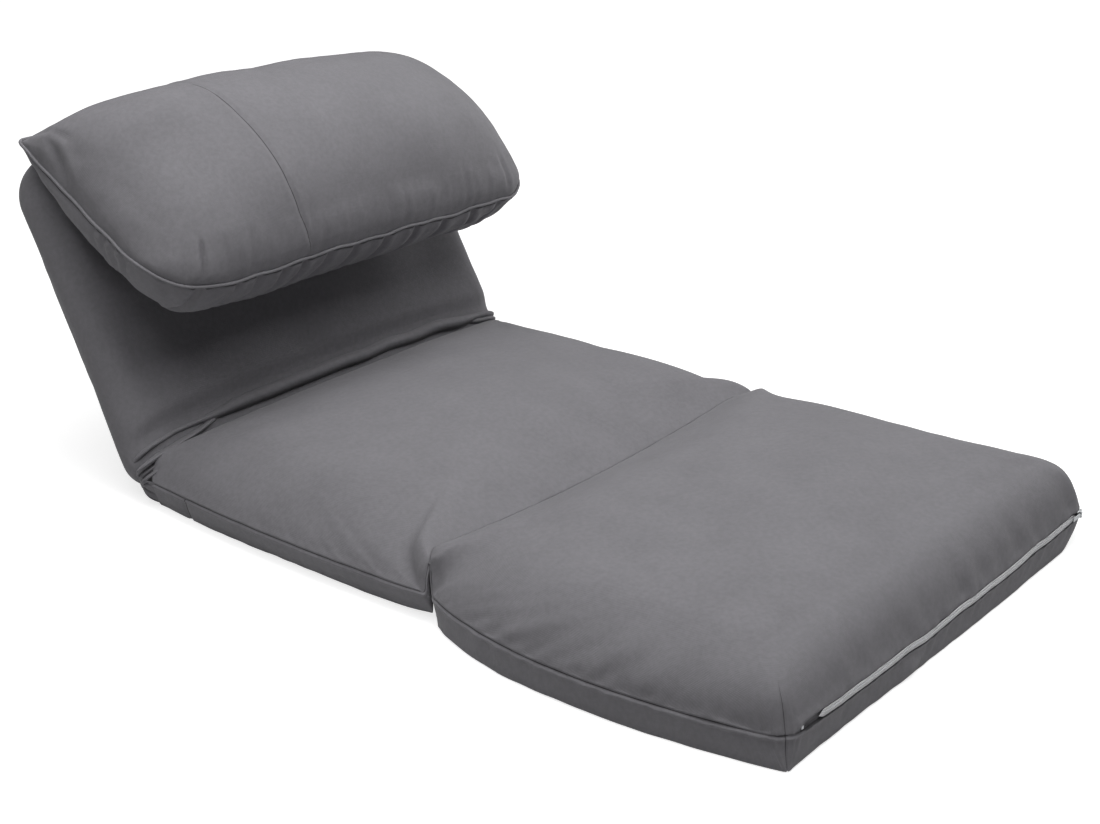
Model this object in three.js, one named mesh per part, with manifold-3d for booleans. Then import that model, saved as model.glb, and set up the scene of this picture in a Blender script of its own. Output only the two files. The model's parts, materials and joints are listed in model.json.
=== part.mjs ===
// A fold-out floor lounger: a seat section, a leg section that folds up and over onto it, a backrest
// on two ratchet hinges and a large pillow sewn to the backrest's top edge.
// Millimetres. X runs across, +Y points to the back, +Z up. The origin is the middle of the seat's
// underside, on the floor. The backrest is drawn leaning back, with the leg section laid out flat.

import * as THREE from 'three';
import { mergeVertices } from 'three/addons/utils/BufferGeometryUtils.js';
import Module from 'manifold-3d';

const wasm = await Module();
wasm.setup();

// Gaps and cuts
const clearance = 0.3;
const foamGap = 0.5;
const overrun = 6;

// Cloth
const cloth = 1.2;
const seamGroove = 1.4;
const bandTuck = 9;

// Seat section
const seatWidth = 716;
const seatLength = 460;
const seatBulge = 9;
const seatFrontRadius = 40;
const seatRearRadius = 30;
const seatUnderPadThickness = 8;

// Leg section
const legWidth = 708;
const legLength = 501;
const legBulge = 42;
const footRadius = 26;
const legRearRadius = 62;
const foldSlot = 3;

// Heights of the sections
const crownHeight = 116;
const edgeHeight = 97;
const seamHeight = 36;
const foldSeamHeight = 67;
const creaseSeamHeight = 68;
const seamRise = 32;
const roundover = 60;

// Backrest
const backWidth = 706;
const backLength = 432;
const backLowerEnd = 30;
const backThickness = 70;
const backCrown = 8;
const backTopRadius = 62;
const backLowerRadius = 30;
const backRoundover = 35;
const backCoverStart = 24;
const backLean = THREE.MathUtils.degToRad(29.8);
const hingeSetback = 34;
const hingeHeight = 40;

// Pillow
const pillowWidth = 700;
const pillowLength = 322;
const pillowFront = 116;
const pillowBelly = 112;
const pillowCornerRadius = 88;
const pillowSeamOffset = 100;
const pillowTurn = THREE.MathUtils.degToRad(-33.5);
const pillowHingeUp = 441;
const pillowHingeOut = 3;

// Tube frames
const tubeRadius = 9.5;
const tubeWall = 1.2;
const tubeBend = 55;
const flatHalfThickness = 2;
const flatHalfHeight = 13.5;
const flatLength = 30;
const seatTubeHeight = 24;
const seatTubeFront = 50;
const backTubeTop = 36;
const crossTubeRadius = 8;

// Ratchet hinges
const hingeInset = 53;
const ratchetThickness = 4;
const cheekThickness = 2;
const toothTipRadius = 20.3;
const toothRootRadius = 17.2;
const toothPitch = THREE.MathUtils.degToRad(12);
const toothCount = 9;
const cheekDiscRadius = 22;
const pivotRadius = 5;
const pinRadius = 2.4;
const rivetHeadRadius = 8;
const rivetHeadThickness = 2;
const pinHeadRadius = 4;
const pinHeadThickness = 1.2;
const pawlReach = 26;
const pawlRise = 13;
const pawlEyeRadius = 5.4;
const pawlBossRadius = 8;
const pawlLift = THREE.MathUtils.degToRad(12);
const pawlContact = THREE.MathUtils.degToRad(187.5);
const springThickness = 0.8;
const springPostReach = 47;
const springPostDrop = 8;
const armRivetReach = 84;
const armEndRadius = 13;
const ratchetArmLength = 62;
const ratchetArmRadius = 11;

// Webbing
const webbingThickness = 1.5;
const webbingWidth = 50;
const seatWebbingCount = 4;
const backWebbingCount = 3;

// Zip along the foot end
const zipLow = 33;
const zipHigh = 44.5;
const tapeWidth = 3.2;
const chainThickness = 2.6;
const stopLength = 4;
const sliderLength = 12;
const sliderHeight = 9;
const sliderThickness = 2;
const sliderPinRadius = 0.9;
const pullLength = 22;
const pullHeight = 5;
const pullThickness = 1.4;

// Faces of round forms
const cornerSteps = 4;
const acrossSteps = 8;
const alongSteps = 6;
const pillowLeftColumns = 6;
const pillowRightColumns = 8;
const pillowRowCount = 10;
const tubeSides = 8;
const roundSides = 16;

// Places that follow from the sizes
const seatFar = seatLength / 2;
const foldY = -seatFar;
const creaseHalfWidth = Math.min(seatWidth, backWidth) / 2;
const hingeHalfSpan = creaseHalfWidth - hingeInset;
const hingeY = seatFar + hingeSetback;
const baseTop = cloth + clearance;
const coverInner = cloth + foamGap;
const backRear = -hingeHeight;
const backFront = backRear + backThickness;
const backMiddle = backRear + backRoundover;
const recessSide = hingeHalfSpan + tubeRadius + webbingThickness + clearance * 2;
const tubeFlatShare = Math.cos(Math.PI / tubeSides);

// Materials
const upholstery = new THREE.MeshStandardMaterial({ color: 0x66666b, roughness: 0.72, metalness: 0 });
const underCloth = new THREE.MeshStandardMaterial({ color: 0x2b2b2e, roughness: 0.9, metalness: 0 });
const foam = new THREE.MeshStandardMaterial({ color: 0xd9cfae, roughness: 0.95, metalness: 0 });
const fibre = new THREE.MeshStandardMaterial({ color: 0xe8e8e6, roughness: 1, metalness: 0 });
const tubeSteel = new THREE.MeshStandardMaterial({ color: 0x2e2f31, roughness: 0.45, metalness: 0.6 });
const plateSteel = new THREE.MeshStandardMaterial({ color: 0xa9acaf, roughness: 0.35, metalness: 0.9 });
const webbing = new THREE.MeshStandardMaterial({ color: 0x1d1d1f, roughness: 0.85, metalness: 0 });
const tape = new THREE.MeshStandardMaterial({ color: 0xc6c6ca, roughness: 0.7, metalness: 0 });
const nylon = new THREE.MeshStandardMaterial({ color: 0xb2b2b6, roughness: 0.45, metalness: 0 });
const zipMetal = new THREE.MeshStandardMaterial({ color: 0x8d9094, roughness: 0.3, metalness: 0.9 });

// Solids from triangles

class Facets {
  constructor() {
    this.positions = [];
  }

  triangle(a, b, c) {
    for (const p of [a, b, c]) this.positions.push(p.x, p.y, p.z);
  }

  // The strip between two rows of points, open or joined end to end. Facing back, it keeps its diagonals,
  // so that two surfaces a cloth's thickness apart stay alongside each other
  strip(from, to, closed, facesBack = false) {
    const last = from.length - (closed ? 0 : 1);
    for (let k = 0; k < last; k++) {
      const next = (k + 1) % from.length;
      const [a, b, c, d] = [from[k], from[next], to[next], to[k]];
      if (facesBack) {
        this.triangle(a, c, b);
        this.triangle(a, d, c);
      } else {
        this.triangle(a, b, c);
        this.triangle(a, c, d);
      }
    }
  }

  // A fan from a centre to a closed row of points
  fan(centre, row) {
    for (let k = 0; k < row.length; k++) this.triangle(centre, row[k], row[(k + 1) % row.length]);
  }

  // One merged mesh without the slivers that meet in a point
  geometry() {
    const loose = new THREE.BufferGeometry();
    loose.setAttribute('position', new THREE.Float32BufferAttribute(this.positions, 3));
    const merged = mergeVertices(loose);
    const kept = [];
    const index = merged.index.array;
    for (let k = 0; k < index.length; k += 3) {
      const [a, b, c] = index.slice(k, k + 3);
      if (a !== b && b !== c && c !== a) kept.push(a, b, c);
    }
    merged.setIndex(kept);
    return merged;
  }
}

function solidOf(geometry) {
  const bare = geometry.clone();
  bare.deleteAttribute('normal');
  bare.deleteAttribute('uv');
  const merged = mergeVertices(bare);
  const mesh = new wasm.Mesh({
    numProp: 3,
    vertProperties: new Float32Array(merged.attributes.position.array),
    triVerts: new Uint32Array(merged.index.array),
  });
  return new wasm.Manifold(mesh);
}

function geometryOf(solid) {
  const mesh = solid.getMesh();
  const geometry = new THREE.BufferGeometry();
  geometry.setAttribute('position', new THREE.BufferAttribute(new Float32Array(mesh.vertProperties), 3));
  geometry.setIndex(new THREE.BufferAttribute(new Uint32Array(mesh.triVerts), 1));
  return geometry;
}

function cut(geometry, ...tools) {
  const solid = tools.reduce((left, tool) => left.subtract(solidOf(tool)), solidOf(geometry));
  return geometryOf(solid);
}

function join(geometry, ...others) {
  const solid = others.reduce((sum, other) => sum.add(solidOf(other)), solidOf(geometry));
  return geometryOf(solid);
}

// A box between two corners
function boxBetween(low, high) {
  const box = new THREE.BoxGeometry(high[0] - low[0], high[1] - low[1], high[2] - low[2]);
  return box.translate((low[0] + high[0]) / 2, (low[1] + high[1]) / 2, (low[2] + high[2]) / 2);
}

// A round bar along X, with its middle at x
function barAcross(x, y, z, radius, length, sides = roundSides) {
  const bar = new THREE.CylinderGeometry(radius, radius, length, sides);
  return bar.rotateZ(Math.PI / 2).translate(x, y, z);
}

// A shape drawn in Y and Z, extruded along X about x
function plateAcross(shape, x, thickness, curveSegments = 4) {
  const plate = new THREE.ExtrudeGeometry(shape, { depth: thickness, bevelEnabled: false, curveSegments });
  const turn = new THREE.Matrix4().makeBasis(
    new THREE.Vector3(0, 1, 0), new THREE.Vector3(0, 0, 1), new THREE.Vector3(1, 0, 0));
  return plate.applyMatrix4(turn).translate(x - thickness / 2, 0, 0);
}

// A row of points in Y and Z as a closed sheet of one thickness, extruded along X about the middle
function sheetAcross(points, thickness, width) {
  const curve = new THREE.SplineCurve(points);
  const steps = points.length * 3;
  const left = [];
  const right = [];
  for (let k = 0; k <= steps; k++) {
    const place = curve.getPoint(k / steps);
    const along = curve.getTangent(k / steps);
    const side = new THREE.Vector2(-along.y, along.x).multiplyScalar(thickness / 2);
    left.push(place.clone().add(side));
    right.push(place.clone().sub(side));
  }
  return plateAcross(new THREE.Shape([...right, ...left.reverse()]), 0, width);
}

// Pads: a rounded outline, a side band and a crowned top

// One round of the outline, counter-clockwise from above, drawn in by an inset
function outline(pad, inset) {
  const halfWidth = pad.halfWidth - inset;
  const near = pad.near + inset;
  const far = pad.far - inset;
  const middle = (near + far) / 2;
  const halfLength = (far - near) / 2;
  const leastShare = 0.35;
  const nearRadius = Math.max(pad.nearRadius - inset, pad.nearRadius * leastShare);
  const farRadius = Math.max(pad.farRadius - inset, pad.farRadius * leastShare);
  const corners = [[-1, -1, nearRadius], [1, -1, nearRadius], [1, 1, farRadius], [-1, 1, farRadius]];
  const points = [];
  corners.forEach(([sideX, sideY, radius], corner) => {
    const centreX = sideX * (halfWidth - radius);
    const centreY = sideY < 0 ? near + radius : far - radius;
    const start = Math.PI + corner * Math.PI / 2;
    for (let k = 0; k <= cornerSteps; k++) {
      const angle = start + k / cornerSteps * Math.PI / 2;
      points.push(new THREE.Vector2(centreX + radius * Math.cos(angle), centreY + radius * Math.sin(angle)));
    }
    const [nextX, nextY, nextRadius] = corners[(corner + 1) % corners.length];
    const goal = new THREE.Vector2(nextX * halfWidth, nextY < 0 ? near : far);
    if (nextX !== sideX) goal.x -= nextX * nextRadius;
    else goal.y -= nextY * nextRadius;
    const from = points[points.length - 1];
    const steps = nextX !== sideX ? acrossSteps : alongSteps;
    for (let k = 1; k < steps; k++) points.push(from.clone().lerp(goal, k / steps));
  });
  for (const point of points) {
    const v = (point.y - middle) / halfLength;
    point.x *= 1 + pad.bulge / pad.halfWidth * (1 - v * v);
  }
  return points;
}

// The height of the crowned top above any point of the plan
function topHeight(pad, x, y) {
  const u = x / (pad.halfWidth + pad.bulge);
  const v = (2 * y - pad.near - pad.far) / (pad.far - pad.near);
  return pad.edge + (pad.crown - pad.edge) * (1 - u * u) * (1 - v * v);
}

// The height of the side seam, which climbs towards an end where two sections meet
function seamAt(pad, y) {
  const farShare = THREE.MathUtils.smoothstep(y, pad.far - seamRise, pad.far);
  const nearShare = 1 - THREE.MathUtils.smoothstep(y, pad.near, pad.near + seamRise);
  return pad.seam + (pad.farSeam - pad.seam) * farShare + (pad.nearSeam - pad.seam) * nearShare;
}

// The rings of the top, from the seam inwards to its middle, offset under the surface
function topRings(pad, offset, lowered = () => 0) {
  const edge = outline(pad, 0);
  const rings = [];
  const halfShort = (pad.far - pad.near) / 2;
  const turnShares = [0, 0.28, 0.55, 0.78, 1];
  for (const share of turnShares) {
    const angle = share * Math.PI / 2;
    const inset = offset + pad.roundover * (1 - Math.cos(angle));
    const groove = share === 0 ? seamGroove : 0;
    rings.push(outline(pad, inset + groove).map((point, k) => {
      const seam = seamAt(pad, edge[k].y) + lowered(edge[k]);
      const top = topHeight(pad, point.x, point.y) - offset;
      return new THREE.Vector3(point.x, point.y, seam + (top - seam) * Math.sin(angle));
    }));
  }
  for (const share of [0.3, 0.65]) {
    const inset = offset + pad.roundover + (halfShort - pad.roundover) * share;
    rings.push(outline(pad, inset).map((point) =>
      new THREE.Vector3(point.x, point.y, topHeight(pad, point.x, point.y) - offset)));
  }
  const middle = (pad.near + pad.far) / 2;
  return { rings, pole: new THREE.Vector3(0, middle, topHeight(pad, 0, middle) - offset) };
}

// The rings of the side band, from the underside up to the seam
function bandRings(pad, offset, bottom, lowered = () => 0) {
  const edge = outline(pad, 0);
  return [0, 0.5, 1].map((share) => {
    const inset = offset + bandTuck * (1 - share) ** 2 + (share === 1 ? seamGroove : 0);
    return outline(pad, inset).map((point, k) => {
      const seam = seamAt(pad, edge[k].y) - clearance + lowered(edge[k]);
      return new THREE.Vector3(point.x, point.y, bottom + (seam - bottom) * share);
    });
  });
}

// A thin cover over rings of points, closed along its edges
function coverOver(outer, inner) {
  const facets = new Facets();
  const last = outer.rings.length - 1;
  for (let k = 0; k < last; k++) {
    facets.strip(outer.rings[k], outer.rings[k + 1], true);
    facets.strip(inner.rings[k], inner.rings[k + 1], true, true);
  }
  facets.strip(inner.rings[0], outer.rings[0], true);
  if (outer.pole) {
    facets.fan(outer.pole, outer.rings[last]);
    facets.fan(inner.pole, [...inner.rings[last]].reverse());
  } else {
    facets.strip(outer.rings[last], inner.rings[last], true);
  }
  return facets.geometry();
}

// A full block inside the covers
function blockInside(rings, pole) {
  const facets = new Facets();
  for (let k = 0; k + 1 < rings.length; k++) facets.strip(rings[k], rings[k + 1], true);
  const bottom = rings[0];
  const middle = bottom.reduce((sum, p) => sum.add(p), new THREE.Vector3()).divideScalar(bottom.length);
  facets.fan(middle, [...bottom].reverse());
  facets.fan(pole, rings[rings.length - 1]);
  return facets.geometry();
}

function topPanel(pad, lowered) {
  return coverOver(topRings(pad, 0, lowered), topRings(pad, cloth, lowered));
}

// The side band stands on the rim of the base cloth
function sideBand(pad, lowered) {
  return coverOver({ rings: bandRings(pad, 0, baseTop, lowered) },
    { rings: bandRings(pad, cloth, baseTop, lowered) });
}

function padFoam(pad) {
  const top = topRings(pad, coverInner);
  const band = bandRings(pad, coverInner, baseTop);
  return blockInside([...band, ...top.rings.slice(1)], top.pole);
}

// A flat sheet under the foam
function flatSheet(points, bottom, thickness) {
  const shape = new THREE.Shape(points);
  const sheet = new THREE.ExtrudeGeometry(shape, { depth: thickness, bevelEnabled: false });
  return sheet.translate(0, 0, bottom);
}

const seatPad = {
  halfWidth: seatWidth / 2, near: foldY, far: seatFar, bulge: seatBulge, nearRadius: seatFrontRadius,
  farRadius: seatRearRadius, edge: edgeHeight, crown: crownHeight, seam: seamHeight,
  nearSeam: foldSeamHeight, farSeam: creaseSeamHeight, roundover,
};

const legFar = foldY - foldSlot;
const legNear = legFar - legLength;
const legPad = {
  halfWidth: legWidth / 2, near: legNear, far: legFar, bulge: legBulge, nearRadius: footRadius,
  farRadius: legRearRadius, edge: edgeHeight, crown: crownHeight, seam: seamHeight,
  nearSeam: seamHeight, farSeam: foldSeamHeight, roundover,
};

const backPad = {
  halfWidth: backWidth / 2, near: -backLowerEnd, far: backLength, bulge: 0, nearRadius: backLowerRadius,
  farRadius: backTopRadius, edge: backFront, crown: backFront + backCrown, seam: backMiddle,
  nearSeam: backMiddle, farSeam: backMiddle, roundover: backRoundover,
};

// Tube frames

// A round tube along a path in a plane, pressed flat where the flatness is 1
function pressedTube(path, upward, flatness) {
  const ringAt = (k, wall) => {
    const before = path[Math.max(k - 1, 0)];
    const after = path[Math.min(k + 1, path.length - 1)];
    const along = after.clone().sub(before).normalize();
    const side = new THREE.Vector3().crossVectors(along, upward);
    const flat = flatness[k];
    const halfWide = THREE.MathUtils.lerp(tubeRadius, flatHalfThickness, flat) - wall;
    const halfHigh = THREE.MathUtils.lerp(tubeRadius, flatHalfHeight, flat) - wall;
    return Array.from({ length: tubeSides }, (_, n) => {
      const angle = 2 * Math.PI * (n + 0.5) / tubeSides;
      return path[k].clone().addScaledVector(side, halfWide * Math.cos(angle))
        .addScaledVector(upward, halfHigh * Math.sin(angle));
    });
  };
  const facets = new Facets();
  const outer = path.map((_, k) => ringAt(k, 0));
  const inner = path.map((_, k) => ringAt(k, tubeWall));
  for (let k = 0; k + 1 < path.length; k++) {
    facets.strip(outer[k + 1], outer[k], true);
    facets.strip(inner[k], inner[k + 1], true);
  }
  facets.strip(outer[0], inner[0], true);
  facets.strip(inner[path.length - 1], outer[path.length - 1], true);
  return facets.geometry();
}

// A U of tube with its rails along Y: flat ends at openY, bends and a cross run at closedY
function bowTube(halfSpan, openY, closedY) {
  const inward = Math.sign(closedY - openY);
  const rail = [0, flatLength, flatLength * 2].map((run) =>
    new THREE.Vector3(-halfSpan, openY + inward * run, 0));
  const bendSteps = 5;
  const bend = Array.from({ length: bendSteps + 1 }, (_, k) => {
    const angle = k / bendSteps * Math.PI / 2;
    return new THREE.Vector3(
      -halfSpan + tubeBend * (1 - Math.cos(angle)),
      closedY - inward * tubeBend * (1 - Math.sin(angle)), 0);
  });
  const half = [...rail, ...bend];
  const mirrored = half.map((p) => new THREE.Vector3(-p.x, p.y, p.z)).reverse();
  const flatness = half.map((_, k) => (k < 2 ? 1 : 0));
  const path = [...half, ...mirrored];
  if (inward > 0) path.reverse();
  return pressedTube(path, new THREE.Vector3(0, 0, 1), [...flatness, ...[...flatness].reverse()]);
}

// The rivet holes through both flat ends of a bow
function drilled(bow, halfSpan, y) {
  const holes = [-1, 1].map((side) =>
    barAcross(side * halfSpan, y, 0, pinRadius + clearance, 2 * overrun, roundSides / 2));
  return cut(bow, ...holes);
}

// A straight tube between two rails
function crossTube(halfSpan, y) {
  const length = 2 * (halfSpan - tubeRadius * tubeFlatShare - clearance);
  const bore = crossTubeRadius - tubeWall;
  return cut(barAcross(0, y, 0, crossTubeRadius, length, tubeSides),
    barAcross(0, y, 0, bore, length + 2 * overrun, tubeSides));
}

// The foam between two rails, with its near corners rounded inside the bends
function coreBetween(halfSpan, near, far, low, high) {
  const reach = halfSpan - tubeRadius - foamGap;
  const radius = tubeBend - tubeRadius - foamGap;
  const shape = new THREE.Shape();
  shape.moveTo(reach, far);
  shape.lineTo(-reach, far);
  shape.absarc(-reach + radius, near + radius, radius, Math.PI, 1.5 * Math.PI, false);
  shape.absarc(reach - radius, near + radius, radius, 1.5 * Math.PI, 2 * Math.PI, false);
  const rise = { depth: high - low, bevelEnabled: false, curveSegments: 5 };
  const core = new THREE.ExtrudeGeometry(shape, rise);
  return core.translate(0, 0, low);
}

// The groove through that foam for a cross tube
function crossGroove(y, height) {
  const half = crossTubeRadius + foamGap;
  const reach = hingeHalfSpan + overrun;
  return boxBetween([-reach, y - half, height - half], [reach, y + half, height + tubeRadius + overrun]);
}

// An elastic strap over both rails, wrapped round the outside of each
function strap(halfSpan, y) {
  const inner = tubeRadius + clearance;
  const outer = inner + webbingThickness;
  const wrapEnd = THREE.MathUtils.degToRad(-75);
  const shape = new THREE.Shape();
  shape.moveTo(-halfSpan, outer);
  shape.lineTo(halfSpan, outer);
  shape.absarc(halfSpan, 0, outer, Math.PI / 2, wrapEnd, true);
  shape.absarc(halfSpan, 0, inner, wrapEnd, Math.PI / 2, false);
  shape.lineTo(-halfSpan, inner);
  shape.absarc(-halfSpan, 0, inner, Math.PI / 2, Math.PI - wrapEnd, false);
  shape.absarc(-halfSpan, 0, outer, Math.PI - wrapEnd, Math.PI / 2, true);
  const run = { depth: webbingWidth, bevelEnabled: false, curveSegments: 4 };
  const band = new THREE.ExtrudeGeometry(shape, run);
  return band.rotateX(Math.PI / 2).translate(0, y + webbingWidth / 2, 0);
}

// Ratchet hinges, drawn about the pivot in Y and Z

const polar = (radius, angle) => new THREE.Vector2(radius * Math.cos(angle), radius * Math.sin(angle));
const pawlPivot = new THREE.Vector2(-pawlReach, pawlRise);
const springPost = new THREE.Vector2(-springPostReach, -springPostDrop);
const armRivet = new THREE.Vector2(-armRivetReach, seatTubeHeight - hingeHeight);
const ratchetArmEnd = new THREE.Vector2(ratchetArmLength, 0);

// The outline round two discs and their common tangents
function beltShape(from, fromRadius, to, toRadius) {
  const run = to.clone().sub(from);
  const heading = run.angle();
  const spread = Math.acos((fromRadius - toRadius) / run.length());
  const shape = new THREE.Shape();
  shape.absarc(to.x, to.y, toRadius, heading - spread, heading + spread, false);
  shape.absarc(from.x, from.y, fromRadius, heading + spread, heading - spread + 2 * Math.PI, false);
  return shape;
}

function belt(from, fromRadius, to, toRadius, x, thickness) {
  return plateAcross(beltShape(from, fromRadius, to, toRadius), x, thickness);
}

// A pressed cheek: pivot disc, pawl boss and the arm that holds the seat's tube end
function cheek(x) {
  const pivot = new THREE.Vector2();
  const body = join(
    belt(pivot, cheekDiscRadius, armRivet, armEndRadius, x, cheekThickness),
    belt(pivot, cheekDiscRadius, pawlPivot, pawlBossRadius, x, cheekThickness),
    belt(pawlPivot, pawlBossRadius, armRivet, armEndRadius, x, cheekThickness));
  const long = cheekThickness + 2 * overrun;
  const sides = roundSides / 2;
  return cut(body,
    barAcross(x, 0, 0, pivotRadius + clearance, long),
    ...[pawlPivot, springPost, armRivet].map((p) =>
      barAcross(x, p.x, p.y, pinRadius + clearance, long, sides)));
}

// The ratchet plate: saw teeth on a sector, and an arm up the backrest
function ratchetPlate(x) {
  const start = pawlContact - Math.PI / 2 + backLean + clearance / toothTipRadius;
  const first = start - toothPitch * 3;
  const teeth = new THREE.Shape();
  for (let k = 0; k < toothCount; k++) {
    const angle = first + k * toothPitch;
    const tip = polar(toothTipRadius, angle);
    if (k === 0) teeth.moveTo(tip.x, tip.y);
    else teeth.lineTo(tip.x, tip.y);
    const root = polar(toothRootRadius, angle + toothPitch);
    teeth.lineTo(root.x, root.y);
  }
  const end = first + toothCount * toothPitch;
  teeth.absarc(0, 0, toothRootRadius, end, first + 2 * Math.PI, false);
  const arm = belt(new THREE.Vector2(), toothRootRadius - clearance, ratchetArmEnd, ratchetArmRadius,
    x, ratchetThickness);
  const long = ratchetThickness + 2 * overrun;
  return cut(join(plateAcross(teeth, x, ratchetThickness), arm),
    barAcross(x, 0, 0, pivotRadius + clearance, long),
    barAcross(x, ratchetArmEnd.x, 0, pinRadius + clearance, long, roundSides / 2));
}

// The pawl, drawn engaged with its nose in a tooth space, and then swung clear of the teeth
function pawl(x) {
  const contact = pawlContact - 2 * clearance / toothRootRadius;
  const tip = polar(toothRootRadius + 2 * clearance, contact);
  const heel = polar(toothTipRadius + pinRadius, contact);
  const shoulder = polar(toothTipRadius + 2 * clearance, pawlContact - toothPitch);
  const rightOfEye = new THREE.Vector2(pawlPivot.x + pawlEyeRadius, pawlPivot.y);
  const leftOfEye = new THREE.Vector2(pawlPivot.x - pawlEyeRadius, pawlPivot.y);
  const shape = new THREE.Shape();
  shape.moveTo(heel.x, heel.y);
  shape.lineTo(tip.x, tip.y);
  shape.lineTo(shoulder.x, shoulder.y);
  shape.lineTo(rightOfEye.x, rightOfEye.y);
  shape.absarc(pawlPivot.x, pawlPivot.y, pawlEyeRadius, 0, Math.PI, false);
  shape.lineTo(leftOfEye.x, leftOfEye.y);
  const long = ratchetThickness + 2 * overrun;
  const body = cut(plateAcross(shape, x, ratchetThickness),
    barAcross(x, pawlPivot.x, pawlPivot.y, pinRadius + clearance, long, roundSides / 2));
  return body.translate(0, -pawlPivot.x, -pawlPivot.y).rotateX(-pawlLift)
    .translate(0, pawlPivot.x, pawlPivot.y);
}

// A leaf spring: an eye round its post and a blade against the pawl's back
function pawlSpring(x) {
  const eyeInner = pinRadius + clearance;
  const eyeOuter = eyeInner + springThickness;
  const bladeEnd = new THREE.Vector2(pawlPivot.x - pawlEyeRadius - springThickness * 2, -clearance);
  const up = bladeEnd.clone().sub(springPost).normalize();
  const side = new THREE.Vector2(-up.y, up.x);
  const foot = springPost.clone().addScaledVector(side, eyeOuter - springThickness / 2);
  const half = side.clone().multiplyScalar(springThickness / 2);
  const blade = new THREE.Shape([
    foot.clone().sub(half), bladeEnd.clone().sub(half), bladeEnd.clone().add(half), foot.clone().add(half),
  ]);
  const width = ratchetThickness;
  const ring = cut(barAcross(x, springPost.x, springPost.y, eyeOuter, width, roundSides / 2),
    barAcross(x, springPost.x, springPost.y, eyeInner, width + 2 * overrun, roundSides / 2));
  return join(ring, plateAcross(blade, x, width));
}

// A rivet across a stack of plates, with a domed head at each end
function rivet(x, place, radius, grip, headRadius, headThickness) {
  const half = grip / 2 + clearance;
  const shoulder = headRadius * Math.SQRT1_2;
  const profile = [
    [0, -half - headThickness], [shoulder, -half - headThickness], [headRadius, -half], [radius, -half],
    [radius, half], [headRadius, half], [shoulder, half + headThickness], [0, half + headThickness],
  ].map(([r, h]) => new THREE.Vector2(r, h));
  const sides = radius === pivotRadius ? roundSides : roundSides / 2;
  const turned = new THREE.LatheGeometry(profile, sides);
  return turned.rotateZ(Math.PI / 2).translate(x, place.x, place.y);
}

// Pillow: an outline with round lower corners, split into panels by its seams

const pillowTopShare = 0.985;

// The half chord shrinks towards the ends, so that the lower corners are round
function pillowRows(offset, u) {
  const reach = pillowWidth / 2 - offset;
  const x = reach * u;
  const intoCorner = Math.max(Math.abs(x) - (reach - pillowCornerRadius), 0) / pillowCornerRadius;
  const rise = pillowCornerRadius * (1 - Math.sqrt(1 - intoCorner ** 2));
  return { x, low: -pillowLength + offset + rise, high: -offset };
}

function pillowFrontDepth(u, v) {
  return (1 - Math.abs(u) ** 4) ** 0.6 * (1 - Math.abs(v) ** 2.3) ** 0.6;
}

// One point of the pillow: front or belly, offset under the surface
function pillowPoint(side, offset, u, v) {
  const { x, low, high } = pillowRows(offset, u);
  const y = (low + high) / 2 + v * (high - low) / 2;
  const fullness = pillowFrontDepth(u, v);
  if (side > 0) return new THREE.Vector3(x, y, clearance / 2 + (pillowFront - offset) * fullness);
  const againstBack = Math.max(-y * Math.tan(-pillowTurn) - offset, 0);
  const free = (pillowBelly - offset) * fullness;
  const depth = free * againstBack / Math.hypot(free, againstBack, clearance) * pillowTopShare;
  const lean = Math.min(free, againstBack);
  return new THREE.Vector3(x, y, -clearance / 2 - (depth + lean) / 2);
}

// The columns of its grid, closer together towards the ends, with one on the front seam
function pillowColumns() {
  const seam = Math.asin(-pillowSeamOffset / (pillowWidth / 2));
  const spread = (from, to, count) =>
    Array.from({ length: count }, (_, k) => Math.sin(from + (to - from) * k / count));
  return [...spread(-Math.PI / 2, seam, pillowLeftColumns),
    ...spread(seam, Math.PI / 2, pillowRightColumns), 1];
}

// A grid of points, one row of the chord for each column
function pillowGrid(side, offset, columns) {
  return columns.map((u) => Array.from({ length: pillowRowCount + 1 }, (_, j) =>
    pillowPoint(side, offset, u, Math.sin(Math.PI * (j / pillowRowCount - 0.5)))));
}

// A closed body between an upper and a lower grid of the same columns
function bodyBetween(upper, lower) {
  const facets = new Facets();
  const last = upper.length - 1;
  for (let i = 0; i < last; i++) {
    facets.strip(upper[i], upper[i + 1], false, true);
    facets.strip(lower[i], lower[i + 1], false);
  }
  facets.strip(upper[0], lower[0], false);
  facets.strip(lower[last], upper[last], false);
  const edge = (grid, row) => grid.map((column) => column[row]);
  facets.strip(edge(lower, 0), edge(upper, 0), false);
  facets.strip(edge(upper, pillowRowCount), edge(lower, pillowRowCount), false);
  return facets.geometry();
}

// A panel of cloth over some of the columns
function pillowPanel(side, columns) {
  const outer = pillowGrid(side, 0, columns);
  const inner = pillowGrid(side, cloth, columns);
  return side > 0 ? bodyBetween(outer, inner) : bodyBetween(inner, outer);
}

// The assembly

const lounger = new THREE.Group();

function piece(group, name, geometry, material) {
  const mesh = new THREE.Mesh(geometry, material);
  mesh.name = name;
  group.add(mesh);
}

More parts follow.
